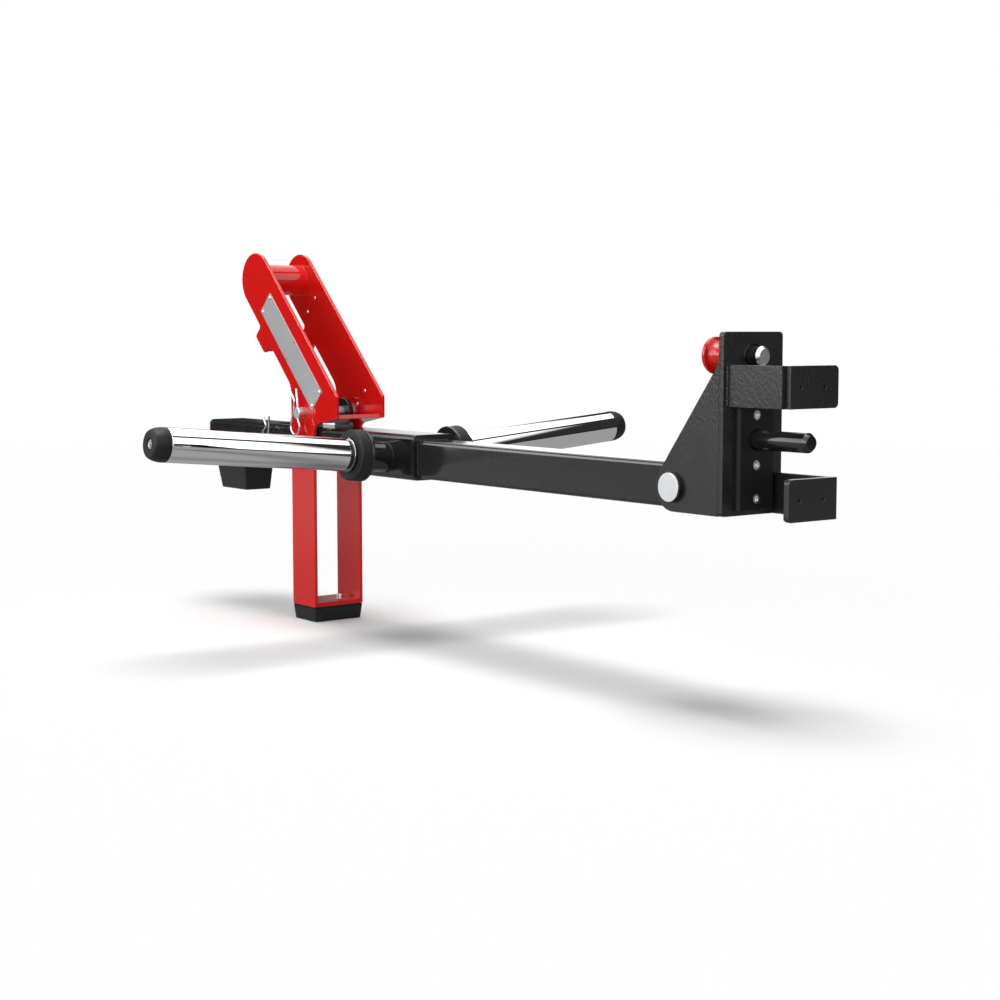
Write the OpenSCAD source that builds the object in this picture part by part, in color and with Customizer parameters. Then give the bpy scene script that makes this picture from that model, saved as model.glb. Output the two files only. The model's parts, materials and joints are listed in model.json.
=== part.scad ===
// Lever squat machine that hooks on a 70 mm rack upright: a carriage with a fixed rack pin and a
// sprung locking pin, a lever with two weight horns, and a swinging stand with a carrying handle.
// Millimetres. Origin on the rack pin's axis at the back liner's face, +X into the rack, +Z up.

/* [Rack fit] */
// Width and depth of the rack's upright
upright = 70; // [60:1:80]
// Free space beside the upright, each side
side_play = 0.5; // [0.3:0.1:1]
// Free space in front of and behind the upright together
depth_play = 2.5; // [1:0.5:4]
// Height between the rack pin and the locking pin, two hole pitches
pin_spacing = 100; // [96:1:104]
// Diameter of the rack pin and of the locking pin
rack_pin_d = 24; // [20:0.5:25]
// How far the rack pin reaches past the back liner
rack_pin_reach = 87.4; // [60:0.2:90]

/* [Carriage] */
// Thickness of the carriage's steel plates
plate_t = 8; // [6:0.5:9]
// Width of the back plate
plate_w = 100; // [96:1:106]
// Top of the back plate above the rack pin
plate_top = 129; // [124:1:150]
// Bottom of the back plate below the rack pin
plate_drop = 91; // [90:0.5:96]
// Corner radius of the back plate
plate_corner = 5; // [2:0.5:8]
// Thickness of the plastic liners
liner_t = 8; // [6:0.5:9]
// Width of the back liner
liner_w = 61; // [50:1:66]
// Top of the back liner
liner_top = 70; // [60:1:76]
// Bottom of the back liner, below the rack pin
liner_drop = 84.5; // [78:0.5:88]
// Bevel on the liners' edges
liner_bevel = 3; // [1:0.5:4]
// Heights of the three liner screws
liner_screw_z = [29.7, -30.5, -71];
// Head radius of the liner screws
liner_screw_r = 6.2; // [5:0.1:7]
// Bottom of the upper hook
upper_hook_z = 40; // [30:1:42]
// Bottom of the lower hook, below the rack pin
lower_hook_drop = 91; // [84:0.5:91]
// Height of both hooks
hook_h = 50; // [40:1:52]
// How far a hook's lip laps over its arm's end
lip_lap = 2; // [1:0.5:6]
// Corner radius of the lips' free corners
lip_corner = 6; // [3:0.5:8]
// Half the distance between a lip's two pins
lip_pin_half = 20; // [14:0.5:24]

/* [Locking pin] */
// How far the locking pin stands out past the liner's face
lock_reach = 10.5; // [8:0.5:16]
// Travel of the locking pin when its knob is pulled
lock_travel = 13; // [11:0.5:16]
// Bevel length at the locking pin's tip
lock_bevel = 3.5; // [2:0.5:5]
// Wall of the locking pin's housing
housing_wall = 3; // [2:0.5:4]
// Length of the housing behind the back plate
housing_len = 36; // [34:1:42]
// Diameter of the pull knob
knob_d = 46; // [40:1:50]
// Length of the pull knob
knob_len = 24; // [19:0.5:30]
// Wire radius of the locking spring
spring_wire_r = 1; // [0.8:0.1:1.3]

/* [Pivots] */
// Lever pivot behind the back liner's face
pivot_back = 94.5; // [92:0.5:98]
// Lever pivot below the rack pin
pivot_drop = 60.5; // [59.5:0.25:60.75]
// Nose radius of the gussets
nose_r = 30.5; // [30:0.25:31]
// Where the gussets' slope meets the back plate
gusset_top = 92; // [80:1:100]
// Radius of the lever's axle
axle_r = 12.5; // [10:0.5:13]
// Radial play of the turning joints
turn_play = 0.05; // [0.03:0.01:0.09]
// Side play of the lever between the gussets
lever_side_play = 0.5; // [0.3:0.1:1]
// Gap between pieces that move past each other
gap = 0.3; // [0.3:0.05:0.5]
// Radius of the collars on the gussets
collar_r = 19; // [17:0.5:22]
// How far the collars stand out
collar_len = 6.2; // [4:0.2:8]
// Thickness of the bright pivot caps
cap_t = 1.5; // [1:0.25:2.5]

/* [Lever] */
// Outer width of the beam
beam_w = 58; // [54:1:60]
// Outer height of the beam
beam_h = 56.5; // [52:0.5:57]
// Wall of the beam
beam_wall = 5; // [4:0.5:6]
// How far the beam's middle lies below the pivot
beam_offset = 0.25; // [0:0.25:0.5]
// How far the beam reaches into the carrier tube
beam_in = 260; // [120:10:300]
// Right end of the carrier tube
tube_right = -672.5; // [-690:0.5:-660]
// Left end of the carrier tube
tube_left = -1301; // [-1320:1:-1290]
// Width of the carrier tube
tube_w = 74; // [72:0.5:76]
// Top of the carrier tube
tube_top = -24; // [-26:0.5:-22]
// Wall of the carrier tube
tube_wall = 3; // [2.5:0.5:3]
// Corner radius of the carrier tube
tube_corner = 8; // [6:0.5:9]
// Thickness of the carrier tube's end plates
end_t = 5; // [4:0.5:8]

/* [Weight horns] */
// Place of the horns along the lever
horn_x = -746; // [-760:1:-740]
// Tilt of the horns, outer end up
horn_tilt = 5; // [0:0.5:8]
// Where both horns' axes cross the middle plane
horn_z = -63.5; // [-66:0.5:-60]
// Radius of the horns' bare roots
stub_r = 22.5; // [21:0.5:24]
// Distance from the middle plane to the steel disc
disc_start = 80; // [70:1:90]
// Thickness of the steel disc
disc_t = 5; // [4:0.5:6]
// Radius of the steel disc
disc_r = 39; // [36:0.5:45]
// Thickness of the rubber ring on the disc
ring_t = 18; // [12:0.5:20]
// Distance from the middle plane to the chromed sleeve's full diameter
sleeve_start = 114.5; // [112:0.5:118]
// Distance from the middle plane to the sleeve's outer end
sleeve_end = 406.5; // [330:0.5:420]
// Diameter of the chromed sleeve, for 50 mm plates
sleeve_d = 49.5; // [49:0.1:50]
// Wall of the chromed sleeve
sleeve_wall = 4; // [3:0.5:5]
// Length of the rubber cap
cap_len = 24.5; // [22:0.5:40]

/* [Stand] */
// Stand pivot along X
stand_x = -966; // [-970:0.5:-962]
// Stand pivot height
stand_z = -1; // [-3:0.5:1]
// How far the handle's round end lies behind the stand pivot
handle_back = 154; // [146:0.5:160]
// Height of the handle's round end above the stand pivot
handle_up = 215.6; // [208:0.2:222]
// Radius of the round end
head_r = 43.5; // [41:0.5:48]
// Thickness of the two stand plates
stand_t = 5.5; // [4:0.5:7]
// Space between each stand plate and the carrier tube
stand_side_gap = 3; // [1.5:0.25:3.5]
// From the stand pivot to the leg's left side
leg_behind = 41.6; // [38:0.2:45]
// From the stand pivot to the leg's right side
leg_ahead = 26.8; // [25:0.2:32]
// From the stand pivot to the heel's right side
heel_ahead = 95; // [90:0.5:100]
// From the stand pivot down to the plates' lower ends
leg_drop = 313; // [300:1:330]
// Height of the rubber foot
foot_h = 24; // [18:1:30]
// Slope of the heel, the stand's forward swing
heel_slope = 10; // [8:0.5:12]
// Radius of the handle tube
handle_r = 25; // [18:0.5:28]
// Radius of the stand's pivot pin
stand_pin_r = 9; // [8:0.5:10]
// Outer radius of the lugs on the carrier tube
lug_r = 22.5; // [20:0.5:24]
// How far a lug's inner face lies inside the tube's side
lug_inset = 12; // [10:0.5:15]
// Thickness of a lug
lug_t = 8; // [6:0.5:9]
// Thickness of the heel plate and of the stop plate
stop_t = 6.5; // [5:0.5:8]
// Start of the stop tabs, along the handle arm
tab_start = 66; // [60:1:74]
// Length of the stop tabs
tab_len = 40; // [34:1:46]
// Thickness of the name plates
name_t = 1.2; // [0.8:0.1:2]
// Length of the name plates
name_len = 224; // [180:1:230]
// Width of the name plates
name_w = 42.5; // [30:0.5:46]
// Start of the name plates, along the handle arm
name_start = 51; // [46:1:60]
// How far a name plate's middle lies below the arm's middle line
name_drop = 2.25; // [0:0.25:4]

/* [Small parts] */
// Place of the belt pin along the lever
belt_x = -1085; // [-1095:1:-1075]
// Height of the belt pin
belt_z = -57; // [-60:1:-54]
// Radius of the belt pin
belt_pin_r = 8; // [6:0.5:9]
// Length of the belt slot in the tube's top
slot_len = 90; // [70:1:100]
// Width of the belt slot
slot_w = 36; // [24:1:44]
// Wire size of the spring clips
clip_wire = 3.4; // [2.8:0.1:3.6]
// Height of the rubber bumper
bumper_h = 50.7; // [40:0.1:60]
// Length of the rubber bumper at its top
bumper_len = 100; // [90:1:110]
// Distance from the lever's end to the bumper
bumper_start = 8; // [6:0.5:12]
// How much the bumper narrows on its outer end, its inner end and each side
bumper_taper = [11, 4, 5];

/* [Hidden] */
$fn = 96;
// A cut reaches this far past the faces it opens
cut = 1;
// Half the upright's width with its side play
hook_half = upright / 2 + side_play;
// Back and front faces of the back plate
plate_front = -liner_t;
plate_back = plate_front - plate_t;
// Back face of the hooks' lips
lip_back = upright + depth_play + liner_t;
// Rack pin's root in the plate and the bevel at its tip
rack_root_r = 8;
rack_bevel = 4.5;
rack_bevel_r = 8.5;
// Liner clearance round the rack pin, and the pin's narrower neck behind it
liner_pin_gap = 1;
rack_neck_r = 11;
rack_neck_back = 1;
// Locking pin, its housing, stem and spring
lock_r = rack_pin_d / 2;
housing_r = lock_r + housing_wall;
housing_end = plate_back - housing_len;
housing_floor = 4;
barrel_in = 6;
lock_shoulder = plate_back - barrel_in;
spring_room = lock_shoulder - housing_end - housing_floor;
lock_groove_r = 11.4;
lock_groove_half = 1;
stem_r = 6;
stem_in = 15;
spring_r = 9;
spring_turns = 6;
spring_steps = 10;
knob_face = housing_end - gap;
// Lever pivot
pivot_x = -pivot_back;
pivot_z = -pivot_drop;
gusset_out = plate_w / 2;
gusset_in = gusset_out - plate_t;
hub_r = 19;
bush_r = 14.5;
bush_flange_t = 3;
bush_flange_r = 18;
bush_end = gusset_in - lever_side_play;
hub_end = bush_end - bush_flange_t;
bush_len = 25;
cap_pin_r = 5;
cap_pin_len = 12;
cap_rim = 1;
// Beam
beam_mid = pivot_z - beam_offset;
beam_corner = 6;
beam_past = 33;
beam_cap_t = 3;
beam_right = pivot_x + beam_past;
beam_left = tube_right - beam_in;
// Carrier tube: the beam lies on its inner floor
tube_bottom = beam_mid - beam_h / 2 - tube_wall;
tube_mid = (tube_top + tube_bottom) / 2;
tube_h = tube_top - tube_bottom;
tube_inner_corner = tube_corner - tube_wall;
// Horns
bar_r = sleeve_d / 2 - sleeve_wall;
ring_in = disc_start + disc_t;
ring_out = ring_in + ring_t;
neck_r = 23;
lip_ring_r = 26;
lip_ring_t = 4;
cap_straight = 10;
cap_flat_r = 15;
cap_screw_r = 4;
cap_head_r = 7;
cap_head_t = 6;
cap_screw_in = 30;
hex_r = 4;
// Stand: u runs down the handle arm, v from its middle line to the lower left
lug_in = tube_w / 2 - lug_inset;
stand_in = tube_w / 2 + stand_side_gap;
stand_gap_w = 2 * stand_in;
stand_out = stand_in + stand_t;
arm_u = [sqrt(0.5), -sqrt(0.5)];
arm_v = [-sqrt(0.5), -sqrt(0.5)];
head_x = stand_x - handle_back;
head_z = stand_z + handle_up;
leg_left = stand_x - leg_behind;
leg_right = stand_x + leg_ahead;
heel_right = stand_x + heel_ahead;
leg_bottom = stand_z - leg_drop;
floor_z = leg_bottom - foot_h;
head_c = [head_x, head_z];
pivot_c = [stand_x, stand_z];
pivot_v = (pivot_c - head_c) * arm_v;
pivot_rise = stand_z - tube_top;
stop_v = pivot_v + pivot_rise - gap;
tab_fillet = 5;
tab_round = 4;
// Heel line: lies flat on the tube when the stand leans forward by its slope
heel_n = [sin(heel_slope), -cos(heel_slope)];
heel_d = [cos(heel_slope), sin(heel_slope)];
heel_mid = pivot_c + heel_n * (pivot_rise - gap);
heel_at_right = heel_mid + heel_d * ((heel_right - heel_mid[0]) / heel_d[0]);
heel_at_leg = heel_mid + heel_d * ((leg_right - heel_mid[0]) / heel_d[0]);
heel_fillet = 17;
leg_fillet = 30;
leg_round = 3;
handle_wall = 4;
pin_head_r = 13;
pin_head_t = 5;
pin_out = 15.5;
clip_y = stand_out + 12.5;
foot_t = 8;
foot_inset = 2.5;
foot_round = 3;
foot_screw_r = 5.5;
foot_screw_h = 3.5;
foot_shank_r = 3;
foot_shank_in = 12;
foot_screw_x = 7;
foot_screw_y = 27;
bush_wall = 6;
// Name plate in arm coordinates
name_u = [name_start, name_start + name_len];
name_v = [name_drop - name_w / 2, name_drop + name_w / 2];
name_round = 1.5;
rivet_in = 5.5;
rivet_r = 2;
rivet_head_r = 3;
rivet_head_t = 1.4;
rivet_tail = 2;
// Belt pin and clips
belt_out = 13;
belt_head_r = 12;
belt_clip_y = tube_w / 2 + 8;
clip_hole_r = 2.6;
clip_loop = [-8.5, -21.5];
clip_loop_r = 13.5;
clip_loop_start = 20;
clip_loop_end = -200;
clip_leg = [[-5, 40], [0, 11], [0, -11]];
clip_spring = [[-13.5, 2], [-12.6, 12], [-14, 20], [-26, 34]];
clip_turn = 14;
// Bumper, as left and right ends of its top and bottom
bumper_top = [tube_left + bumper_start, tube_left + bumper_start + bumper_len];
bumper_foot = [bumper_top[0] + bumper_taper[0], bumper_top[1] - bumper_taper[1]];
bumper_top_half = beam_w / 2;
bumper_foot_half = bumper_top_half - bumper_taper[2];
bumper_slab = 1;
bolt_r = 4;
bolt_in = 20;
nut_r = 7.5;
nut_t = 6.5;
bolt_half = 28;
// Hooks' push pins and the liner screws
lip_pin_r = 2;
lip_pin_deep = 2;
lip_head_r = 5;
lip_head_t = 2;
lip_head_in = 1;
lip_inset = 2;
lip_far = 2.5;
liner_screw_head = 5;
liner_screw_sunk = 1;
liner_shank_r = 3;
// Pull knob: hub, flare towards the rim, rim and domed end
knob_hub_r = 13;
knob_hub = 3;
knob_rim_t = 4;
knob_dome = 3;
knob_dome_r = 17;
// Rubber ring's rounding and the sleeve's bevel
ring_bevel = 1.5;
sleeve_bevel = 1;
cap_recess = 2;

red = [0.78, 0.04, 0.04];
black = [0.07, 0.07, 0.08];
coat = [0.16, 0.16, 0.17];
rubber = [0.05, 0.05, 0.05];
plastic = [0.1, 0.1, 0.11];
chrome = [0.85, 0.86, 0.88];
steel = [0.6, 0.61, 0.63];
bronze = [0.6, 0.45, 0.22];

// Points of an arc from angle a0 to angle a1
function arc(c, r, a0, a1, n = 24) =
    [for (i = [0:n]) c + r * [cos(a0 + (a1 - a0) * i / n), sin(a0 + (a1 - a0) * i / n)]];
function unit(p) = p / norm(p);
function half_turn(a) = a > 180 ? a - 360 : (a < -180 ? a + 360 : a);
// Arc that rounds the corner b between a and c with radius r
function fillet(a, b, c, r, n) =
    let (p = unit(a - b), q = unit(c - b), h = acos(p * q) / 2, m = b + unit(p + q) * (r / sin(h)),
        s = b + p * (r / tan(h)) - m, e = b + q * (r / tan(h)) - m,
        a0 = atan2(s[1], s[0]), d = half_turn(atan2(e[1], e[0]) - a0))
    arc(m, r, a0, a0 + d, n);
// Closed outline with every corner rounded by its own radius; 0 keeps a corner sharp
function rounded(p, r, n = 8) =
    [for (i = [0:len(p) - 1])
        let (a = p[(i + len(p) - 1) % len(p)], b = p[i], c = p[(i + 1) % len(p)])
        for (q = r[i] > 0 ? fillet(a, b, c, r[i], n) : [b]) q];
// Box outline from x0..x1 and y0..y1
function box_points(x0, x1, y0, y1) = [[x0, y0], [x1, y0], [x1, y1], [x0, y1]];
function round_box(x0, x1, y0, y1, r) = rounded(box_points(x0, x1, y0, y1), [r, r, r, r]);
// Place in the stand's side view from arm coordinates
function on_arm(u, v) = head_c + u * arm_u + v * arm_v;
// Outline of a bent wire of width w along the points of p
function side(p, i) =
    let (d = unit(p[min(i + 1, len(p) - 1)] - p[max(i - 1, 0)])) [-d[1], d[0]];
function wire(p, w) = concat([for (i = [0:len(p) - 1]) p[i] + side(p, i) * w / 2],
    [for (i = [len(p) - 1:-1:0]) p[i] - side(p, i) * w / 2]);

// A side-view outline from y0 to y0 + t
module slab_y(y0, t) {
    translate([0, y0 + t, 0]) rotate([90, 0, 0]) linear_extrude(t) children();
}
// An end-view outline from x0 to x0 + t
module slab_x(x0, t) {
    translate([x0, 0, 0]) rotate([90, 0, 90]) linear_extrude(t) children();
}
module rod_x(y, z, x0, x1, r) {
    translate([x0, y, z]) rotate([0, 90, 0]) cylinder(h = x1 - x0, r = r);
}
module rod_y(x, z, y0, y1, r) {
    translate([x, y0, z]) rotate([-90, 0, 0]) cylinder(h = y1 - y0, r = r);
}
module rod_z(x, y, z0, z1, r) {
    translate([x, y, z0]) cylinder(h = z1 - z0, r = r);
}
// A turned piece along +X: points are [distance, radius]
module turned_x(y, z, p) {
    translate([0, y, z]) rotate([0, 90, 0])
        rotate_extrude() polygon([for (q = p) [q[1], q[0]]]);
}

// Carriage
module back_plate() {
    color(coat) difference() {
        slab_x(plate_back, plate_t)
            polygon(round_box(-plate_w / 2, plate_w / 2, -plate_drop, plate_top, plate_corner));
        rod_x(0, 0, plate_back - cut, plate_front + cut, rack_root_r);
        rod_x(0, pin_spacing, plate_back - cut, plate_front + cut, housing_r);
        for (z = liner_screw_z) rod_x(0, z, plate_back - cut, plate_front + cut, liner_shank_r);
    }
}
function gusset_points() =
    let (c = [pivot_x, pivot_z], p = [plate_back, gusset_top], d = p - c,
        a = atan2(d[1], d[0]) + acos(nose_r / norm(d)))
    concat([[plate_back, pivot_z - nose_r]], arc(c, nose_r, 270, a, 32), [p]);
module gusset(y0) {
    color(coat) difference() {
        slab_y(y0, plate_t) polygon(gusset_points());
        rod_y(pivot_x, pivot_z, y0 - cut, y0 + plate_t + cut, axle_r);
    }
}
module gusset_near() { gusset(-gusset_out); }
module gusset_far() { gusset(gusset_in); }
module hook_arm(y0, z0) {
    color(coat) slab_y(y0, plate_t) polygon(box_points(plate_front, lip_back, z0, z0 + hook_h));
}
// s is the side of the arm: -1 near, 1 far. The lip laps over the arm's end and has two round corners
module hook_lip(s, z0) {
    y0 = s < 0 ? -hook_half - lip_lap : -hook_half - lip_far;
    y1 = hook_half + plate_t;
    r = s < 0 ? [0, lip_corner, lip_corner, 0] : [lip_corner, 0, 0, lip_corner];
    color(coat) difference() {
        slab_x(lip_back, plate_t) polygon(rounded(box_points(y0, y1, z0, z0 + hook_h), r));
        for (y = [-lip_pin_half, lip_pin_half])
            rod_x(y, z0 + hook_h / 2, lip_back - cut, lip_back + plate_t + cut, lip_pin_r);
    }
}
module upper_hook_arm() { hook_arm(-hook_half - plate_t, upper_hook_z); }
module upper_hook_lip() { hook_lip(-1, upper_hook_z); }
module lower_hook_arm() { hook_arm(hook_half, -lower_hook_drop); }
module lower_hook_lip() { hook_lip(1, -lower_hook_drop); }
// A liner with bevelled long edges, seen from above, between z0 and z1
module liner(x0, x1, half, z0, z1, face) {
    b = liner_bevel;
    p = face > 0 ? [[x0, -half], [x1 - b, -half], [x1, -half + b], [x1, half - b], [x1 - b, half], [x0, half]]
        : [[x1, -half], [x1, half], [x0 + b, half], [x0, half - b], [x0, -half + b], [x0 + b, -half]];
    translate([0, 0, z0]) linear_extrude(z1 - z0) polygon(p);
}
module back_liner() {
    color(plastic) difference() {
        liner(-liner_t, 0, liner_w / 2, -liner_drop, liner_top, 1);
        rod_x(0, 0, -liner_t - cut, cut, lock_r + liner_pin_gap);
        for (z = liner_screw_z) {
            rod_x(0, z, -liner_t - cut, cut, liner_shank_r);
            rod_x(0, z, -liner_screw_head, cut, liner_screw_r);
        }
    }
}
module liner_screws() {
    color(steel) for (z = liner_screw_z) difference() {
        union() {
            rod_x(0, z, -liner_screw_head, -liner_screw_sunk, liner_screw_r);
            rod_x(0, z, plate_back, -liner_screw_head, liner_shank_r);
        }
        translate([-liner_screw_head + cut, 0, z]) rotate([0, 90, 0])
            cylinder(h = liner_screw_head, r = hex_r, $fn = 6);
    }
}
module lip_liner(z0) {
    f = lip_back - liner_t;
    color(plastic) difference() {
        liner(f, lip_back, hook_half - liner_bevel, z0 + lip_inset, z0 + hook_h - lip_inset, -1);
        for (y = [-lip_pin_half, lip_pin_half]) {
            rod_x(y, z0 + hook_h / 2, f - cut, lip_back + cut, lip_pin_r);
            rod_x(y, z0 + hook_h / 2, f - cut, f + lip_head_t + lip_head_in, lip_head_r);
        }
    }
}
module upper_lip_liner() { lip_liner(upper_hook_z); }
module lower_lip_liner() { lip_liner(-lower_hook_drop); }
module lip_liner_pins() {
    f = lip_back - liner_t + lip_head_in;
    color(plastic) for (z0 = [upper_hook_z, -lower_hook_drop], y = [-lip_pin_half, lip_pin_half]) {
        rod_x(y, z0 + hook_h / 2, f, f + lip_head_t, lip_head_r);
        rod_x(y, z0 + hook_h / 2, f + lip_head_t, lip_back + plate_t - lip_pin_deep, lip_pin_r);
    }
}
module rack_pin() {
    color(black) turned_x(0, 0, [[plate_back, 0], [plate_back, rack_root_r], [plate_front, rack_root_r],
        [plate_front, rack_neck_r], [-rack_neck_back, rack_neck_r], [-rack_neck_back, lock_r],
        [rack_pin_reach - rack_bevel, lock_r], [rack_pin_reach, rack_bevel_r], [rack_pin_reach, 0]]);
}
module pop_pin_housing() {
    color(black) turned_x(0, pin_spacing, [[housing_end, stem_r + turn_play], [housing_end, housing_r],
        [plate_front, housing_r], [plate_front, lock_r + turn_play],
        [housing_end + housing_floor, lock_r + turn_play], [housing_end + housing_floor, stem_r + turn_play]]);
}
module locking_pin() {
    g = plate_front;
    color(black) turned_x(0, pin_spacing, [[knob_face - stem_in, 0], [knob_face - stem_in, stem_r],
        [lock_shoulder, stem_r], [lock_shoulder, lock_r], [g - lock_groove_half, lock_r],
        [g - lock_groove_half, lock_groove_r], [g + lock_groove_half, lock_groove_r],
        [g + lock_groove_half, lock_r], [lock_reach - lock_bevel, lock_r],
        [lock_reach, lock_r - lock_bevel], [lock_reach, 0]]);
}
function knob_points() =
    let (e = knob_face - knob_len, m = e + knob_dome + knob_rim_t, f = knob_face - knob_hub,
        r = knob_d / 2, n = 6)
    concat([[knob_face, stem_r], [knob_face, knob_hub_r], [f, knob_hub_r]],
        [for (i = [1:n]) [f + (m - f) * sin(90 * i / n), r - (r - knob_hub_r) * cos(90 * i / n)]],
        [[e + knob_dome, r], [e + knob_dome / 3, knob_dome_r], [e, knob_dome_r / 2], [e, 0],
            [knob_face - stem_in, 0], [knob_face - stem_in, stem_r]]);
module pull_knob() {
    color(red) turned_x(0, pin_spacing, knob_points());
}
// Level cut through a coiled wire: a band bent round the spring's axis, thickest at its middle
function coil_point(t, side) =
    let (h = 360 * spring_wire_r * spring_turns / spring_room,
        r = spring_r + side * spring_wire_r * sqrt(1 - t * t))
    r * [cos(h * t), sin(h * t)];
function coil_cut() = let (n = 3)
    concat([for (i = [-n:n]) coil_point(i / n, 1)], [for (i = [n - 1:-1:1 - n]) coil_point(i / n, -1)]);
module locking_spring() {
    color(steel) translate([housing_end + housing_floor, 0, pin_spacing]) rotate([0, 90, 0])
        linear_extrude(spring_room, twist = 360 * spring_turns, slices = spring_steps * spring_turns, $fn = 8)
            polygon(coil_cut());
}

// Lever pivot
module pivot_axle() {
    color(steel) difference() {
        rod_y(pivot_x, pivot_z, -gusset_out - collar_len, gusset_out + collar_len, axle_r);
        for (s = [-1, 1]) translate([0, s * (gusset_out + collar_len), 0])
            rod_y(pivot_x, pivot_z, -cap_pin_len, cap_pin_len, cap_pin_r);
    }
}
module pivot_collars() {
    color(black) for (y = [-gusset_out - collar_len, gusset_out]) difference() {
        rod_y(pivot_x, pivot_z, y, y + collar_len, collar_r);
        rod_y(pivot_x, pivot_z, y - cut, y + collar_len + cut, axle_r);
    }
}
module pivot_caps() {
    e = gusset_out + collar_len;
    color(chrome) {
        rod_y(pivot_x, pivot_z, -e - cap_t, -e, collar_r - cap_rim);
        rod_y(pivot_x, pivot_z, -e, -e + cap_pin_len, cap_pin_r);
        rod_y(pivot_x, pivot_z, e, e + cap_t, collar_r - cap_rim);
        rod_y(pivot_x, pivot_z, e - cap_pin_len, e, cap_pin_r);
    }
}
module pivot_hub() {
    color(black) difference() {
        rod_y(pivot_x, pivot_z, -hub_end, hub_end, hub_r);
        rod_y(pivot_x, pivot_z, -hub_end - cut, hub_end + cut, bush_r);
    }
}
module bush(y0, y1, f0, f1) {
    difference() {
        union() {
            rod_y(pivot_x, pivot_z, y0, y1, bush_r);
            rod_y(pivot_x, pivot_z, f0, f1, bush_flange_r);
        }
        rod_y(pivot_x, pivot_z, y0 - bush_len, y1 + bush_len, axle_r + turn_play);
    }
}
module pivot_bushes() {
    color(bronze) {
        bush(-hub_end, -hub_end + bush_len, -bush_end, -hub_end);
        bush(hub_end - bush_len, hub_end, hub_end, bush_end);
    }
}

// Lever
module beam_section(w, h, r) {
    polygon(round_box(-w / 2, w / 2, beam_mid - h / 2, beam_mid + h / 2, r));
}
module main_beam() {
    l = beam_right - beam_left;
    color(black) difference() {
        slab_x(beam_left, l) beam_section(beam_w, beam_h, beam_corner);
        slab_x(beam_left - cut, l + 2 * cut)
            beam_section(beam_w - 2 * beam_wall, beam_h - 2 * beam_wall, beam_corner / 2);
        rod_y(pivot_x, pivot_z, -beam_w, beam_w, hub_r);
    }
}
module beam_end_cap() {
    color(black) slab_x(beam_right, beam_cap_t) beam_section(beam_w, beam_h, beam_corner);
}
module tube_section(inset, r) {
    polygon(round_box(-tube_w / 2 + inset, tube_w / 2 - inset, tube_bottom + inset, tube_top - inset, r));
}
module carrier_tube() {
    x0 = tube_left + end_t;
    l = tube_right - end_t - x0;
    color(black) difference() {
        slab_x(x0, l) tube_section(0, tube_corner);
        slab_x(x0 - cut, l + 2 * cut) tube_section(tube_wall, tube_inner_corner);
        rod_y(belt_x, belt_z, -tube_w, tube_w, belt_pin_r);
        translate([0, 0, tube_top - 2 * tube_wall]) linear_extrude(3 * tube_wall)
            polygon(round_box(belt_x - slot_len / 2, belt_x + slot_len / 2, -slot_w / 2, slot_w / 2,
                tube_corner));
        for (x = bolt_x()) rod_z(x, 0, tube_bottom - cut, tube_bottom + tube_wall + cut, bolt_r);
    }
}
module tube_end_plate() {
    color(black) difference() {
        slab_x(tube_right - end_t, end_t) tube_section(0, tube_corner);
        slab_x(tube_right - end_t - cut, end_t + 2 * cut) beam_section(beam_w, beam_h, beam_corner);
    }
}
module tube_end_cap() {
    color(plastic) slab_x(tube_left, end_t) tube_section(0, tube_corner);
}
function lug_points() = concat([[stand_x + lug_r, tube_top]], arc(pivot_c, lug_r, 0, 180, 32),
    [[stand_x - lug_r, tube_top]]);
module stand_lug(y0) {
    color(black) difference() {
        slab_y(y0, lug_t) polygon(lug_points());
        rod_y(stand_x, stand_z, y0 - cut, y0 + lug_t + cut, stand_pin_r);
    }
}
module stand_lug_near() { stand_lug(-lug_in - lug_t); }
module stand_lug_far() { stand_lug(lug_in); }

// Weight horns: s is -1 near, 1 far; children are drawn along +Z outwards
module on_horn(s) {
    translate([horn_x, 0, horn_z]) rotate([-s * (90 - horn_tilt), 0, 0]) children();
}
module ring_z(z0, z1, r, hole) {
    difference() {
        translate([0, 0, z0]) cylinder(h = z1 - z0, r = r);
        translate([0, 0, z0 - cut]) cylinder(h = z1 - z0 + 2 * cut, r = hole);
    }
}
module horn_bar(s) {
    color(black) difference() {
        on_horn(s) union() {
            cylinder(h = disc_start, r = stub_r);
            translate([0, 0, disc_start]) cylinder(h = sleeve_end - disc_start, r = bar_r);
        }
        on_horn(s) translate([0, 0, sleeve_end - cap_screw_in])
            cylinder(h = cap_screw_in + cut, r = cap_screw_r);
        translate([horn_x - 2 * stub_r, -tube_w / 2, horn_z - 2 * stub_r])
            cube([4 * stub_r, tube_w, 4 * stub_r]);
    }
}
module horn_bar_near() { horn_bar(-1); }
module horn_bar_far() { horn_bar(1); }
module horn_disc(s) { color(steel) on_horn(s) ring_z(disc_start, ring_in, disc_r, bar_r); }
module horn_disc_near() { horn_disc(-1); }
module horn_disc_far() { horn_disc(1); }
module horn_ring(s) {
    b = ring_bevel;
    color(rubber) on_horn(s) rotate_extrude() polygon([[bar_r, ring_in], [disc_r - b, ring_in],
        [disc_r - b / 2, ring_in + b], [disc_r - b / 2, ring_out - b], [disc_r - 2 * b, ring_out],
        [bar_r, ring_out]]);
}
module horn_ring_near() { horn_ring(-1); }
module horn_ring_far() { horn_ring(1); }
module sleeve(s) {
    r = sleeve_d / 2;
    b = sleeve_bevel;
    color(chrome) on_horn(s) rotate_extrude() polygon([[bar_r, ring_out], [lip_ring_r, ring_out],
        [lip_ring_r, ring_out + lip_ring_t], [neck_r, ring_out + lip_ring_t], [neck_r, sleeve_start],
        [r - b, sleeve_start], [r, sleeve_start + b], [r, sleeve_end], [bar_r, sleeve_end]]);
}
module sleeve_near() { sleeve(-1); }
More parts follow.
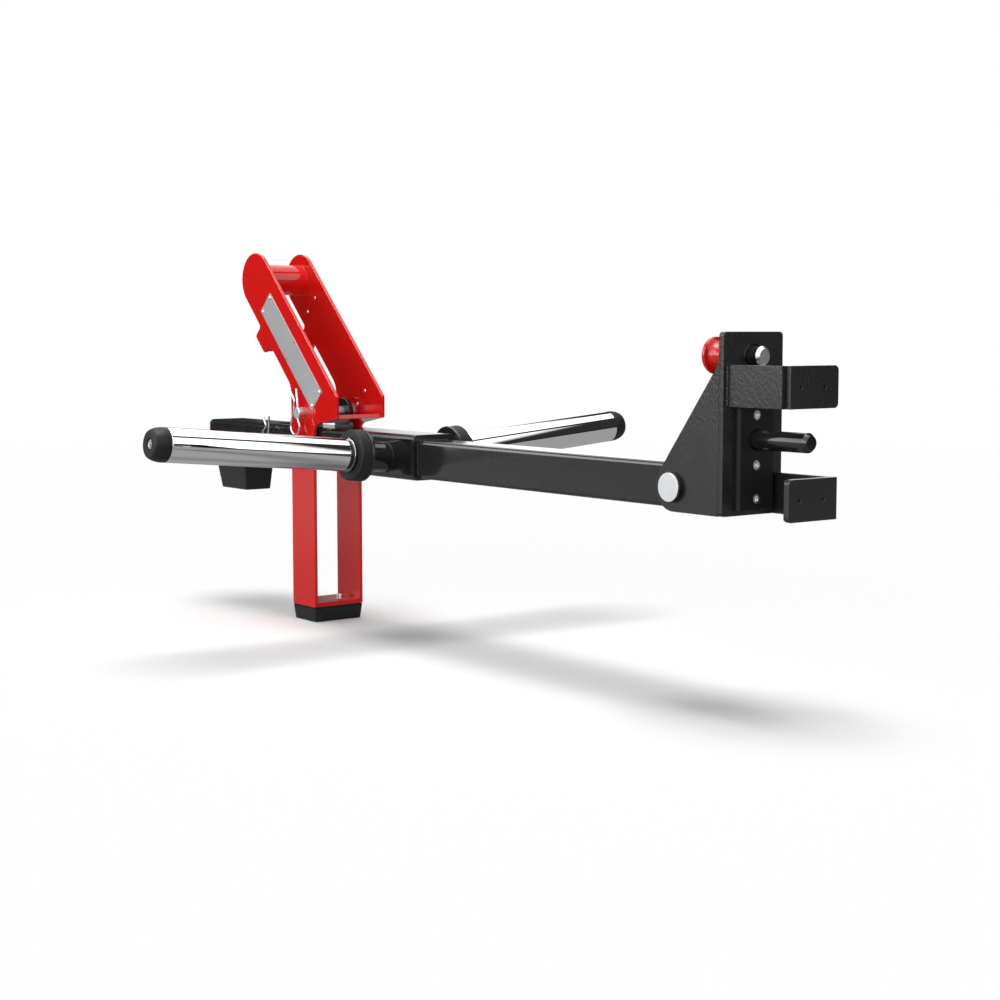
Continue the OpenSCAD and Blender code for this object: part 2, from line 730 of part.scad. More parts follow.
module sleeve_far() { sleeve(1); }
function cap_points() =
    let (r = sleeve_d / 2, h = cap_len - cap_straight, f = cap_len - cap_head_t - cap_recess, n = 12)
    concat([[cap_screw_r, 0], [r, 0], [r, cap_straight]],
        [for (i = [1:n])
            [cap_flat_r + (r - cap_flat_r) * cos(90 * i / n), cap_straight + h * sin(90 * i / n)]],
        [[cap_head_r, cap_len], [cap_head_r, f], [cap_screw_r, f]]);
module sleeve_cap(s) {
    color(rubber) on_horn(s) translate([0, 0, sleeve_end]) rotate_extrude() polygon(cap_points());
}
module sleeve_cap_near() { sleeve_cap(-1); }
module sleeve_cap_far() { sleeve_cap(1); }
module cap_screws() {
    z = sleeve_end + cap_len - cap_head_t - cap_recess;
    color(steel) for (s = [-1, 1]) on_horn(s) difference() {
        union() {
            translate([0, 0, sleeve_end - cap_screw_in])
                cylinder(h = z - sleeve_end + cap_screw_in, r = cap_screw_r);
            translate([0, 0, z]) cylinder(h = cap_head_t, r = cap_head_r);
        }
        translate([0, 0, z + cap_recess]) cylinder(h = cap_head_t, r = hex_r, $fn = 6);
    }
}

// Bumper under the lever's end
function bolt_x() = let (m = (bumper_top[0] + bumper_top[1]) / 2) [m - bolt_half, m + bolt_half];
module bumper() {
    color(rubber) difference() {
        hull() {
            translate([bumper_top[0], -bumper_top_half, tube_bottom - bumper_slab])
                cube([bumper_top[1] - bumper_top[0], 2 * bumper_top_half, bumper_slab]);
            translate([bumper_foot[0], -bumper_foot_half, tube_bottom - bumper_h])
                cube([bumper_foot[1] - bumper_foot[0], 2 * bumper_foot_half, bumper_slab]);
        }
        for (x = bolt_x()) rod_z(x, 0, tube_bottom - bolt_in, tube_bottom + cut, bolt_r);
    }
}
module bumper_bolts() {
    z = tube_bottom + tube_wall;
    color(steel) for (x = bolt_x()) {
        rod_z(x, 0, tube_bottom - bolt_in, z + nut_t + cut, bolt_r);
        difference() {
            translate([x, 0, z]) cylinder(h = nut_t, r = nut_r, $fn = 6);
            rod_z(x, 0, z - cut, z + nut_t + cut, bolt_r);
        }
    }
}

// Pins and their spring clips
function clip_path() =
    concat(clip_leg, arc(clip_loop, clip_loop_r, clip_loop_start, clip_loop_end), clip_spring);
module clip(x, z, y, turn) {
    color(steel) translate([x, 0, z]) rotate([0, turn, 0]) slab_y(-y - clip_wire / 2, clip_wire)
        polygon(wire(clip_path(), clip_wire));
}
module belt_pin() {
    e = tube_w / 2;
    color(steel) difference() {
        union() {
            rod_y(belt_x, belt_z, -e - belt_out, e, belt_pin_r);
            rod_y(belt_x, belt_z, e, e + pin_head_t, belt_head_r);
        }
        translate([belt_x, -belt_clip_y, belt_z]) rotate([0, clip_turn, 0])
            cylinder(h = 4 * belt_pin_r, r = clip_hole_r, center = true);
    }
}
module belt_pin_clip() { clip(belt_x, belt_z, belt_clip_y, clip_turn); }
module stand_pin() {
    color(steel) difference() {
        union() {
            rod_y(stand_x, stand_z, -stand_out - pin_out, stand_out + gap, stand_pin_r);
            rod_y(stand_x, stand_z, stand_out + gap, stand_out + gap + pin_head_t, pin_head_r);
        }
        translate([stand_x, -clip_y, stand_z]) cylinder(h = 4 * stand_pin_r, r = clip_hole_r, center = true);
    }
}
module stand_pin_clip() { clip(stand_x, stand_z, clip_y, 0); }

// Stand
function stand_points() =
    let (u1 = tab_start, u2 = tab_start + tab_len, left = head_c + head_r * arm_v,
        p = [on_arm(u1, head_r), on_arm(u1, stop_v), on_arm(u2, stop_v), on_arm(u2, head_r),
            [leg_left, left[0] + left[1] - leg_left], [leg_left, leg_bottom], [leg_right, leg_bottom],
            heel_at_leg, heel_at_right, [heel_right, head_x + head_z + head_r * sqrt(2) - heel_right]],
        r = [tab_fillet, tab_round, tab_round, tab_fillet, leg_fillet, leg_round, leg_round, heel_fillet,
            leg_round, leg_round],
        a = on_arm(0, head_r), b = on_arm(0, -head_r), n = len(p))
    concat(arc(head_c, head_r, 45, 225, 40),
        [for (i = [0:n - 1])
            for (q = fillet(i == 0 ? a : p[i - 1], p[i], i == n - 1 ? b : p[i + 1], r[i], 8)) q]);
module rivet_holes(r) {
    for (q = rivet_spots()) translate(q) circle(r);
}
function rivet_spots() = [for (u = [name_u[0] + rivet_in, name_u[1] - rivet_in],
    v = [name_v[0] + rivet_in, name_v[1] - rivet_in]) on_arm(u, v)];
module stand_plate(y0) {
    color(red) difference() {
        slab_y(y0, stand_t) difference() {
            polygon(stand_points());
            rivet_holes(rivet_r);
        }
        rod_y(stand_x, stand_z, y0 - cut, y0 + stand_t + cut, stand_pin_r + turn_play);
    }
}
module stand_plate_near() { stand_plate(-stand_out); }
module stand_plate_far() { stand_plate(stand_in); }
module handle_tube() {
    color(red) difference() {
        rod_y(head_x, head_z, -stand_in, stand_in, handle_r);
        rod_y(head_x, head_z, -stand_in - cut, stand_in + cut, handle_r - handle_wall);
    }
}
module heel_plate() {
    a = heel_at_leg + heel_d * heel_fillet;
    b = heel_at_right - heel_d * leg_round;
    color(red) slab_y(-stand_in, stand_gap_w)
        polygon([a, b, b - heel_n * stop_t, a - heel_n * stop_t]);
}
module stop_plate() {
    u1 = tab_start + tab_round;
    u2 = tab_start + tab_len - tab_round;
    color(red) slab_y(-stand_in, stand_gap_w)
        polygon([on_arm(u1, stop_v), on_arm(u2, stop_v), on_arm(u2, stop_v - stop_t),
            on_arm(u1, stop_v - stop_t)]);
}
function foot_spots() = let (m = (leg_left + leg_right) / 2)
    [[m - foot_screw_x, -foot_screw_y], [m - foot_screw_x, foot_screw_y]];
module foot_plate() {
    color(red) difference() {
        translate([leg_left + leg_round, -stand_in, leg_bottom])
            cube([leg_right - leg_left - 2 * leg_round, stand_gap_w, foot_t]);
        for (q = foot_spots()) rod_z(q[0], q[1], leg_bottom - cut, leg_bottom + foot_t + cut, foot_shank_r);
    }
}
module foot_pad() {
    i = foot_inset;
    color(rubber) difference() {
        hull() {
            translate([0, 0, leg_bottom - cut]) linear_extrude(cut)
                polygon(round_box(leg_left, leg_right, -stand_out, stand_out, leg_round));
            translate([0, 0, floor_z]) linear_extrude(cut)
                polygon(round_box(leg_left + i, leg_right - i, -stand_out + i, stand_out - i, foot_round));
        }
        for (q = foot_spots()) rod_z(q[0], q[1], leg_bottom - foot_shank_in, leg_bottom + cut, foot_shank_r);
    }
}
module foot_screws() {
    z = leg_bottom + foot_t;
    color(steel) for (q = foot_spots()) {
        rod_z(q[0], q[1], leg_bottom - foot_shank_in, z, foot_shank_r);
        difference() {
            rod_z(q[0], q[1], z, z + foot_screw_h, foot_screw_r);
            translate([q[0], q[1], z + cut]) cylinder(h = foot_screw_h, r = foot_shank_r, $fn = 6);
        }
    }
}
module nameplate(y0) {
    color(steel) slab_y(y0, name_t) difference() {
        polygon(rounded([on_arm(name_u[0], name_v[0]), on_arm(name_u[1], name_v[0]),
            on_arm(name_u[1], name_v[1]), on_arm(name_u[0], name_v[1])],
            [name_round, name_round, name_round, name_round]));
        rivet_holes(rivet_r);
    }
}
module nameplate_near() { nameplate(-stand_out - name_t); }
module nameplate_far() { nameplate(stand_out); }
module rivet(q, s) {
    o = stand_out + name_t;
    i = stand_in;
    for (seg = [[i - rivet_tail, i, rivet_head_r], [i, o, rivet_r], [o, o + rivet_head_t, rivet_head_r]])
        rod_y(q[0], q[1], s < 0 ? -seg[1] : seg[0], s < 0 ? -seg[0] : seg[1], seg[2]);
}
module nameplate_rivets() {
    color(chrome) for (q = rivet_spots(), s = [-1, 1]) rivet(q, s);
}
module stand_bushes() {
    color(steel) for (y = [-stand_in, lug_in + lug_t + gap]) difference() {
        rod_y(stand_x, stand_z, y, y + stand_in - lug_in - lug_t - gap, stand_pin_r + bush_wall);
        rod_y(stand_x, stand_z, y - cut, y + stand_in, stand_pin_r + turn_play);
    }
}

back_plate();
gusset_near();
gusset_far();
upper_hook_arm();
upper_hook_lip();
lower_hook_arm();
lower_hook_lip();
back_liner();
liner_screws();
upper_lip_liner();
lower_lip_liner();
lip_liner_pins();
rack_pin();
pop_pin_housing();
pivot_axle();
pivot_collars();
pivot_caps();
locking_pin();
pull_knob();
locking_spring();
main_beam();
beam_end_cap();
pivot_hub();
pivot_bushes();
carrier_tube();
tube_end_plate();
tube_end_cap();
stand_lug_near();
stand_lug_far();
horn_bar_near();
horn_bar_far();
horn_disc_near();
horn_disc_far();
horn_ring_near();
horn_ring_far();
sleeve_near();
sleeve_far();
sleeve_cap_near();
sleeve_cap_far();
cap_screws();
bumper();
bumper_bolts();
belt_pin();
belt_pin_clip();
stand_pin();
stand_pin_clip();
stand_plate_near();
stand_plate_far();
handle_tube();
heel_plate();
stop_plate();
foot_plate();
foot_pad();
foot_screws();
nameplate_near();
nameplate_far();
nameplate_rivets();
stand_bushes();
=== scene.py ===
# %% [markdown]
# A squat lever that hooks on a rack upright, dressed for rendering.
#
# The real machine is welded from laser-cut plate and square tube. The rack carriage has a rough
# black powder coat, the lever a smooth black one, the stand a bright red one. Chromed sleeves take
# the weight plates. The CAD frame already has every plate, tube and pin in its place, so this file
# loads it, keeps what is right, and rebuilds the pieces whose edges or forms the camera can tell.

# %% Load the frame
import json
import math

import bmesh
import bpy
from mathutils import Matrix, Vector


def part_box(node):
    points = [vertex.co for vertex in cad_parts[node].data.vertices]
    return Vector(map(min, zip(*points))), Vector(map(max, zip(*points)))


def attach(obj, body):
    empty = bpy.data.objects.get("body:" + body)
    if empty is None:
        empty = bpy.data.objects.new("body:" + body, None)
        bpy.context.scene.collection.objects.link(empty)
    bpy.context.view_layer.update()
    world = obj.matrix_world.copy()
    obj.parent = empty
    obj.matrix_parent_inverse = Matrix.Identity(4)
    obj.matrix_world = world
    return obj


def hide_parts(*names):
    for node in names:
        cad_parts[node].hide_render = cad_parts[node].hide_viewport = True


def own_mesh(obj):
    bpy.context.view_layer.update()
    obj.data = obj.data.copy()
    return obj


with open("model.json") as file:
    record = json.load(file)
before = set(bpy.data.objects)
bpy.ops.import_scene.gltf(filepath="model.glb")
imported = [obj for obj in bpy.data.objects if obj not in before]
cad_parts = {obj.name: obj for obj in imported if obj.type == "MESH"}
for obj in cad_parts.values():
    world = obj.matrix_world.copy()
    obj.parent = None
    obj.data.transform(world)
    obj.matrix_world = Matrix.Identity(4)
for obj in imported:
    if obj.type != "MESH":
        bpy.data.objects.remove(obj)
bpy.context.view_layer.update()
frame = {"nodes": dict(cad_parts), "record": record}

MM = 0.001

# %% [markdown]
# ## The camera
#
# A photograph fixes its camera: the lever's edges and the sleeves' edges run to two vanishing
# points, and their distance gives the lens. An empty and a Track To would aim the camera too, but
# here the three directions are known, so the matrix is filled in directly.

# %% Camera
LENS_MM = 65.16
SENSOR_MM = 36.0
CAMERA_AT = Vector((1.5346, -1.5565, 0.1297))
RIGHT = Vector((0.60603, 0.79544, 0.0))
UP = Vector((-0.07395, 0.05634, 0.99567))
BACK = RIGHT.cross(UP)

camera = bpy.data.objects.new("camera", bpy.data.cameras.new("camera"))
camera.data.lens = LENS_MM
camera.data.sensor_width = SENSOR_MM
camera.data.clip_start = 0.01
camera.data.clip_end = 100.0
axes = Matrix((RIGHT, UP, BACK)).transposed().to_4x4()
camera.matrix_world = Matrix.Translation(CAMERA_AT) @ axes
bpy.context.scene.collection.objects.link(camera)
bpy.context.scene.camera = camera
print("camera looks along", [round(v, 3) for v in -BACK])

# %% [markdown]
# ## Small helpers for materials
#
# A shader is a graph of nodes. Typing out every link hides the idea, so `join` makes one link,
# `feed` takes either a link or a plain value, and `group` opens a node group with named sockets. A
# group here puts out only heights, masks and roughness; the Principled BSDF always stays in the
# material.

# %% Node helpers
KINDS = {"value": "NodeSocketFloat", "vector": "NodeSocketVector"}


def join(tree, source, target):
    tree.links.new(source, target)


def feed(tree, socket, value):
    """Links a socket to another node's output, or sets it to a number, vector or colour."""
    if isinstance(value, bpy.types.NodeSocket):
        join(tree, value, socket)
    elif socket.type == "RGBA":
        socket.default_value = (*value, 1.0)
    else:
        socket.default_value = value


def group(name, inputs, outputs):
    tree = bpy.data.node_groups.new(name, "ShaderNodeTree")
    for label, kind, start in inputs:
        socket = tree.interface.new_socket(name=label, in_out="INPUT", socket_type=KINDS[kind])
        socket.default_value = start
    for label in outputs:
        tree.interface.new_socket(name=label, in_out="OUTPUT", socket_type=KINDS["value"])
    return tree, tree.nodes.new("NodeGroupInput"), tree.nodes.new("NodeGroupOutput")


def math_node(tree, operation, *values, kind="Math"):
    node = tree.nodes.new("ShaderNode" + kind)
    node.operation = operation
    for socket, value in zip(node.inputs, values):
        feed(tree, socket, value)
    return node.outputs[0]


def spread(tree, value, low, high, start, end):
    """Maps low..high to start..end and stops there."""
    node = tree.nodes.new("ShaderNodeMapRange")
    for socket, given in zip(node.inputs, (value, low, high, start, end)):
        feed(tree, socket, given)
    return node.outputs[0]


def blend_colours(tree, mask, first, second):
    node = tree.nodes.new("ShaderNodeMix")
    node.data_type = "RGBA"
    feed(tree, node.inputs["Factor"], mask)
    feed(tree, node.inputs[6], first)
    feed(tree, node.inputs[7], second)
    return node.outputs[2]


def object_place(tree):
    """Object coordinates, so a finish stays on its piece when the piece moves."""
    return tree.nodes.new("ShaderNodeTexCoord").outputs["Object"]


def split(tree, vector):
    """The X, Y and Z of a vector."""
    node = tree.nodes.new("ShaderNodeSeparateXYZ")
    join(tree, vector, node.inputs[0])
    return node.outputs[0], node.outputs[1], node.outputs[2]


print("socket kinds", KINDS)

# %% [markdown]
# ## Surface effects shared by several finishes
#
# Powder coat is melted dust. Under a lamp its skin shows a fine orange peel, and a rough coat has
# a leathery grain drawn along the plate. Turned and brushed steel shows fine parallel scratches.
# Handled metal carries faint smudges, and dust settles as small pale specks. Each effect is one
# group, so that every material uses the same recipe with its own scale and strength.

# %% Orange peel and grain
def stretched_place(tree, given):
    """Object coordinates times the group's stretch."""
    return math_node(tree, "MULTIPLY", object_place(tree), given.outputs["Stretch"], kind="VectorMath")


def noise(tree, vector, scale, detail=2.0, roughness=0.5, distortion=0.0, output="Fac"):
    node = tree.nodes.new("ShaderNodeTexNoise")
    for label, value in (("Vector", vector), ("Scale", scale), ("Detail", detail),
                         ("Roughness", roughness), ("Distortion", distortion)):
        feed(tree, node.inputs[label], value)
    return node.outputs[output]


def relief_group(name, scale):
    """An empty group with a scale and a stretch, which puts out a height and a mask."""
    return group(name, [("Scale", "value", scale), ("Stretch", "vector", (1, 1, 1))], ["Height", "Mask"])


def make_peel():
    tree, given, made = relief_group("coat_peel", 300.0)
    waves = noise(tree, stretched_place(tree, given), given.outputs["Scale"], 3.0, 0.55, 0.6)
    join(tree, waves, made.inputs["Height"])
    join(tree, spread(tree, waves, 0.35, 0.65, 0.0, 1.0), made.inputs["Mask"])
    return tree


PEEL = make_peel()
print("group", PEEL.name)

# %% Leathery grain: ridges between flat cells
WANDER_SCALE = 90.0
WANDER = 0.006
PORE_SCALE = 700.0
PORE_SHARE = 0.25
GRAIN_LEFT = 0.15


def make_leather():
    """Bent cells with fine pores; the coat lies smoother on the carriage's lower half."""
    tree, given, made = relief_group("leather_grain", 200.0)
    place = stretched_place(tree, given)
    bend = noise(tree, place, WANDER_SCALE, output="Color")
    bent = math_node(tree, "MULTIPLY_ADD", bend, (WANDER, WANDER, WANDER), place, kind="VectorMath")
    cells = tree.nodes.new("ShaderNodeTexVoronoi")
    cells.feature = "SMOOTH_F1"
    join(tree, bent, cells.inputs["Vector"])
    join(tree, given.outputs["Scale"], cells.inputs["Scale"])
    pores = noise(tree, place, PORE_SCALE)
    height = math_node(tree, "MULTIPLY_ADD", pores, PORE_SHARE, cells.outputs["Distance"])
    _, _, z = split(tree, object_place(tree))
    height = math_node(tree, "MULTIPLY", height, spread(tree, z, -0.05, 0.05, GRAIN_LEFT, 1.0))
    join(tree, height, made.inputs["Height"])
    join(tree, spread(tree, cells.outputs["Distance"], 0.15, 0.6, 0.0, 1.0), made.inputs["Mask"])
    return tree


LEATHER = make_leather()
print("group", LEATHER.name)


# %% Smudges
def make_smudge():
    inputs = [("Scale", "value", 9.0), ("Low", "value", 0.1), ("High", "value", 0.2)]
    tree, given, made = group("smudges", inputs, ["Roughness"])
    cloud = noise(tree, object_place(tree), given.outputs["Scale"], 5.0, 0.6, 1.2)
    rough = spread(tree, cloud, 0.3, 0.7, given.outputs["Low"], given.outputs["High"])
    join(tree, rough, made.inputs["Roughness"])
    return tree


SMUDGE = make_smudge()
print("group", SMUDGE.name)


# %% Dust specks
def make_dust():
    tree, given, made = group("dust", [("Amount", "value", 0.02)], ["Mask"])
    specks = noise(tree, object_place(tree), 900.0, 1.0)
    patches = noise(tree, object_place(tree), 14.0, 3.0)
    both = math_node(tree, "MULTIPLY", spread(tree, specks, 0.66, 0.8, 0.0, 1.0),
                     spread(tree, patches, 0.45, 0.75, 0.0, 1.0))
    join(tree, math_node(tree, "MULTIPLY", both, given.outputs["Amount"]), made.inputs["Mask"])
    return tree


DUST = make_dust()
print("group", DUST.name)


# %% Fine scratches of turning or brushing
def make_scratch():
    tree, given, made = relief_group("fine_scratches", 1.0)
    lines = noise(tree, stretched_place(tree, given), given.outputs["Scale"])
    join(tree, lines, made.inputs["Height"])
    join(tree, lines, made.inputs["Mask"])
    return tree


SCRATCH = make_scratch()
print("group", SCRATCH.name)


# %% One recipe for every finish
def finish(name, colour, shade, effect, settings, rough, bump, metallic=0.0, coat=0.0, coat_rough=0.05,
           specular=0.5, dust=0.04):
    """A Principled material. The effect's mask mixes colour and shade and its height makes the bump,
    given as strength and depth in mm; smudges lead the roughness from low to high."""
    material = bpy.data.materials.new(name)
    material.use_nodes = True
    tree = material.node_tree
    shader = tree.nodes["Principled BSDF"]
    shader.inputs["Metallic"].default_value = metallic
    shader.inputs["Coat Weight"].default_value = coat
    shader.inputs["Coat Roughness"].default_value = coat_rough
    shader.inputs["Specular IOR Level"].default_value = specular
    made = {}
    low, high = rough
    for part, values in ((effect, settings), (SMUDGE, {"Low": low, "High": high}), (DUST, {"Amount": dust})):
        node = tree.nodes.new("ShaderNodeGroup")
        node.node_tree = part
        for label, value in values.items():
            node.inputs[label].default_value = value
        made[part.name] = node.outputs
    base = blend_colours(tree, made[effect.name]["Mask"], colour, shade)
    pale = tuple(0.5 * level + 0.12 for level in colour)
    dusty = blend_colours(tree, made[DUST.name]["Mask"], base, pale)
    join(tree, dusty, shader.inputs["Base Color"])
    join(tree, made[SMUDGE.name]["Roughness"], shader.inputs["Roughness"])
    strength, depth = bump
    relief = tree.nodes.new("ShaderNodeBump")
    relief.inputs["Strength"].default_value = strength
    relief.inputs["Distance"].default_value = depth * MM
    join(tree, made[effect.name]["Height"], relief.inputs["Height"])
    join(tree, relief.outputs["Normal"], shader.inputs["Normal"])
    return material


print("recipe mixes an effect with", SMUDGE.name, "and", DUST.name)

# %% [markdown]
# ## The finishes
#
# One material for each slot of the part's record, and one more for the name plates, whose brushed
# face is darker than the bright axle caps of the same slot. Colours are in linear light: a black
# coat is about 0.01 to 0.03, never 0. The gloss comes from a low roughness and a clear coat, the
# leathery look of the carriage from a strong bump that is stretched along the plate's height.
# Plastic and rubber get a low specular level, because they reflect the studio less than paint.

# %% Powder coats
FINISH = {}
FINISH["red_coat"] = finish(
    "red_powder_coat", (0.75, 0.012, 0.009), (0.72, 0.01, 0.008), PEEL, {"Scale": 260.0},
    rough=(0.05, 0.09), bump=(0.03, 0.3), dust=0.03)
FINISH["black_gloss"] = finish(
    "black_gloss_coat", (0.009, 0.009, 0.01), (0.012, 0.012, 0.013), PEEL, {"Scale": 240.0},
    rough=(0.1, 0.17), bump=(0.03, 0.3), coat=0.15, coat_rough=0.04)
FINISH["beam_coat"] = finish(
    "black_satin_coat", (0.02, 0.0205, 0.021), (0.023, 0.0235, 0.024), PEEL,
    {"Scale": 320.0, "Stretch": (0.5, 1.0, 1.0)}, rough=(0.1, 0.13), bump=(0.005, 0.2), dust=0.02)
FINISH["carriage_coat"] = finish(
    "black_textured_coat", (0.011, 0.011, 0.0115), (0.014, 0.014, 0.0145), LEATHER,
    {"Scale": 330.0, "Stretch": (1.0, 1.0, 0.7)}, rough=(0.26, 0.32), bump=(0.7, 0.35))
FINISH["disc_steel"] = finish(
    "coated_disc", (0.012, 0.012, 0.013), (0.016, 0.016, 0.017), PEEL, {"Scale": 300.0},
    rough=(0.2, 0.28), bump=(0.05, 0.2))
print("coats", sorted(FINISH))

# %% Plastics and rubber
FINISH["liner_plastic"] = finish(
    "black_wear_plastic", (0.011, 0.011, 0.012), (0.014, 0.014, 0.015), SCRATCH,
    {"Scale": 60.0, "Stretch": (1, 8, 1)}, rough=(0.3, 0.38), bump=(0.02, 0.2), specular=0.16)
FINISH["knob_plastic"] = finish(
    "red_gloss_plastic", (0.72, 0.01, 0.009), (0.68, 0.008, 0.008), PEEL, {"Scale": 120.0},
    rough=(0.14, 0.16), bump=(0.0, 0.1), dust=0.0)
FINISH["cap_plastic"] = finish(
    "black_cap_plastic", (0.012, 0.012, 0.013), (0.016, 0.016, 0.017), PEEL, {"Scale": 500.0},
    rough=(0.4, 0.5), bump=(0.1, 0.2), specular=0.18)
FINISH["black_rubber"] = finish(
    "matte_rubber", (0.018, 0.018, 0.018), (0.023, 0.023, 0.023), PEEL, {"Scale": 700.0},
    rough=(0.5, 0.62), bump=(0.15, 0.2), specular=0.16, dust=0.06)
print("with plastics and rubber", len(FINISH))

# %% Bright metals
FINISH["zinc_steel"] = finish(
    "zinc_plate", (0.72, 0.73, 0.74), (0.6, 0.61, 0.63), PEEL, {"Scale": 420.0},
    rough=(0.26, 0.34), bump=(0.01, 0.1), metallic=1.0)
FINISH["ground_steel"] = finish(
    "turned_steel", (0.6, 0.6, 0.61), (0.66, 0.66, 0.67), SCRATCH,
    {"Scale": 40.0, "Stretch": (1, 30, 1)}, rough=(0.28, 0.36), bump=(0.02, 0.1), metallic=1.0)
FINISH["clip_wire"] = finish(
    "spring_wire", (0.62, 0.63, 0.64), (0.54, 0.55, 0.57), SCRATCH,
    {"Scale": 60.0, "Stretch": (1, 1, 12)}, rough=(0.1, 0.16), bump=(0.03, 0.1), metallic=1.0)
FINISH["bush_bronze"] = finish(
    "bearing_bronze", (0.5, 0.33, 0.13), (0.42, 0.26, 0.1), PEEL, {"Scale": 500.0},
    rough=(0.35, 0.45), bump=(0.05, 0.2), metallic=1.0)
FINISH["sleeve_chrome"] = finish(
    "polished_chrome", (0.88, 0.88, 0.89), (0.83, 0.83, 0.84), SCRATCH,
    {"Scale": 30.0, "Stretch": (1, 25, 1)}, rough=(0.01, 0.03), bump=(0.002, 0.1), metallic=1.0)
BRUSH = {"Scale": 90.0, "Stretch": (6, 1, 6)}
FINISH["plate_steel"] = finish(
    "satin_axle_cap", (0.67, 0.69, 0.7), (0.63, 0.65, 0.66), SCRATCH, BRUSH,
    rough=(0.34, 0.4), bump=(0.02, 0.1), metallic=0.6)
NAMEPLATE_FACE = finish(
    "brushed_name_plate", (0.42, 0.43, 0.435), (0.37, 0.38, 0.385), SCRATCH, BRUSH,
    rough=(0.34, 0.4), bump=(0.02, 0.1), metallic=0.6)
print("finishes", len(FINISH), "and the name plates' own")

# %% Give every CAD node its finish
SLOT_OF = {entry["node"]: entry["material_slot"] for entry in frame["record"]["subparts"]}
BODY_OF = {name: body for body, names in frame["record"]["behaviour"]["bodies"].items() for name in names}
for name, node in frame["nodes"].items():
    node.data.materials.clear()
    node.data.materials.append(FINISH[SLOT_OF[name]])
print("nodes with a finish", len(SLOT_OF))

# %% [markdown]
# ## Floor, world and lamps
#
# The photograph is a white studio picture: a white sweep, a soft shadow right under the machine,
# and coats that mirror long soft boxes with a thin dark gap between them. One large sun straight
# above gives the even floor and the soft shadow. Low fill from the front lights the upright faces
# and hardly reaches the floor, so the shadow stays dark.
#
# The world is white to the camera. To glossy rays it is a dark room with long boxes, read from
# the angle round a level axis that runs nearly into the picture, which draws the crisp bands on
# chrome and paint. On the far side the boxes stop at about 45 degrees above the horizon, so the
# faces that look there stay dark but for one bright patch straight behind the machine. A box in
# front lights the near side, and a small low one at its left draws the grey line along the beam's
# upper corner. Lamps would do the same but would also light the floor; here only mirrors see the
# boxes. The world isn't sampled as a lamp, because that spreads a veil of light over rough coats.

# %% Floor
FLOOR_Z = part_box("foot_pad")[0][2]
FLOOR_AT = Vector((-0.62, 0.0, FLOOR_Z))
FLOOR_R = 5.0
FLOOR_SEEN = (0.96, 0.96, 0.96)
FLOOR_BOUNCE = (0.4, 0.4, 0.4)
FLOOR_MIRRORED = (0.36, 0.36, 0.36)
# Painted light: the floor's front part as mirrors see it, brighter than the rest.
FLOOR_PAINTED_LIGHT_FRONT = (0.6, 0.6, 0.6)


def make_floor():
    plate = bmesh.new()
    bmesh.ops.create_circle(plate, cap_ends=True, segments=128, radius=FLOOR_R)
    bmesh.ops.translate(plate, verts=plate.verts, vec=FLOOR_AT)
    mesh = bpy.data.meshes.new("floor")
    plate.to_mesh(mesh)
    plate.free()
    floor = bpy.data.objects.new("floor", mesh)
    bpy.context.scene.collection.objects.link(floor)
    return floor


def floor_material():
    """Matt white to the camera, grey to the rays that carry its light back to the machine, with painted
    light: a brighter front part that only reflections show.
    """
    material = bpy.data.materials.new("studio_floor")
    material.use_nodes = True
    tree = material.node_tree
    tree.nodes.remove(tree.nodes["Principled BSDF"])
    ray = tree.nodes.new("ShaderNodeLightPath")
    matt = tree.nodes.new("ShaderNodeBsdfDiffuse")
    _, y, _ = split(tree, object_place(tree))
    # Painted light: to glossy rays the floor's front part is painted brighter, a pool of light seen only in
    # reflections.
    front = spread(tree, y, -0.9, -0.3, 1.0, 0.0)
    mirrored = blend_colours(tree, front, FLOOR_MIRRORED, FLOOR_PAINTED_LIGHT_FRONT)
    bounced = blend_colours(tree, ray.outputs["Is Glossy Ray"], FLOOR_BOUNCE, mirrored)
    seen = blend_colours(tree, ray.outputs["Is Camera Ray"], bounced, FLOOR_SEEN)
    join(tree, seen, matt.inputs["Color"])
    join(tree, matt.outputs[0], tree.nodes["Material Output"].inputs["Surface"])
    return material


floor = make_floor()
floor.data.materials.append(floor_material())
print("floor at", round(FLOOR_Z, 4))

# %% Mirrored studio
# Stops of the long boxes as (place, brightness). The place is in turns round the level axis:
# 0.25 is straight down, 0.5 level to the right, 0.75 straight up.
BOXES = ((0.0, 0.02), (0.1, 0.02), (0.484, 0.25), (0.487, 0.5), (0.49, 0.5), (0.493, 0.01),
         (0.502, 0.01), (0.505, 2.0), (0.62, 2.0), (0.624, 0.02), (0.646, 0.02), (0.65, 2.0),
         (0.86, 2.0), (0.88, 0.05), (1.0, 0.02))
TO_THE_RIGHT = (0.79, 0.6)
INTO_THE_PICTURE = (-0.6, 0.79)


def along(tree, x, y, level):
    """The part of a direction along a level vector."""
    return math_node(tree, "ADD", math_node(tree, "MULTIPLY", x, level[0]),
                     math_node(tree, "MULTIPLY", y, level[1]))


def window(tree, *edges):
    """The product of soft edges, each as (value, low, high, start, end)."""
    shape = spread(tree, *edges[0])
    for edge in edges[1:]:
        shape = math_node(tree, "MULTIPLY", shape, spread(tree, *edge))
    return shape


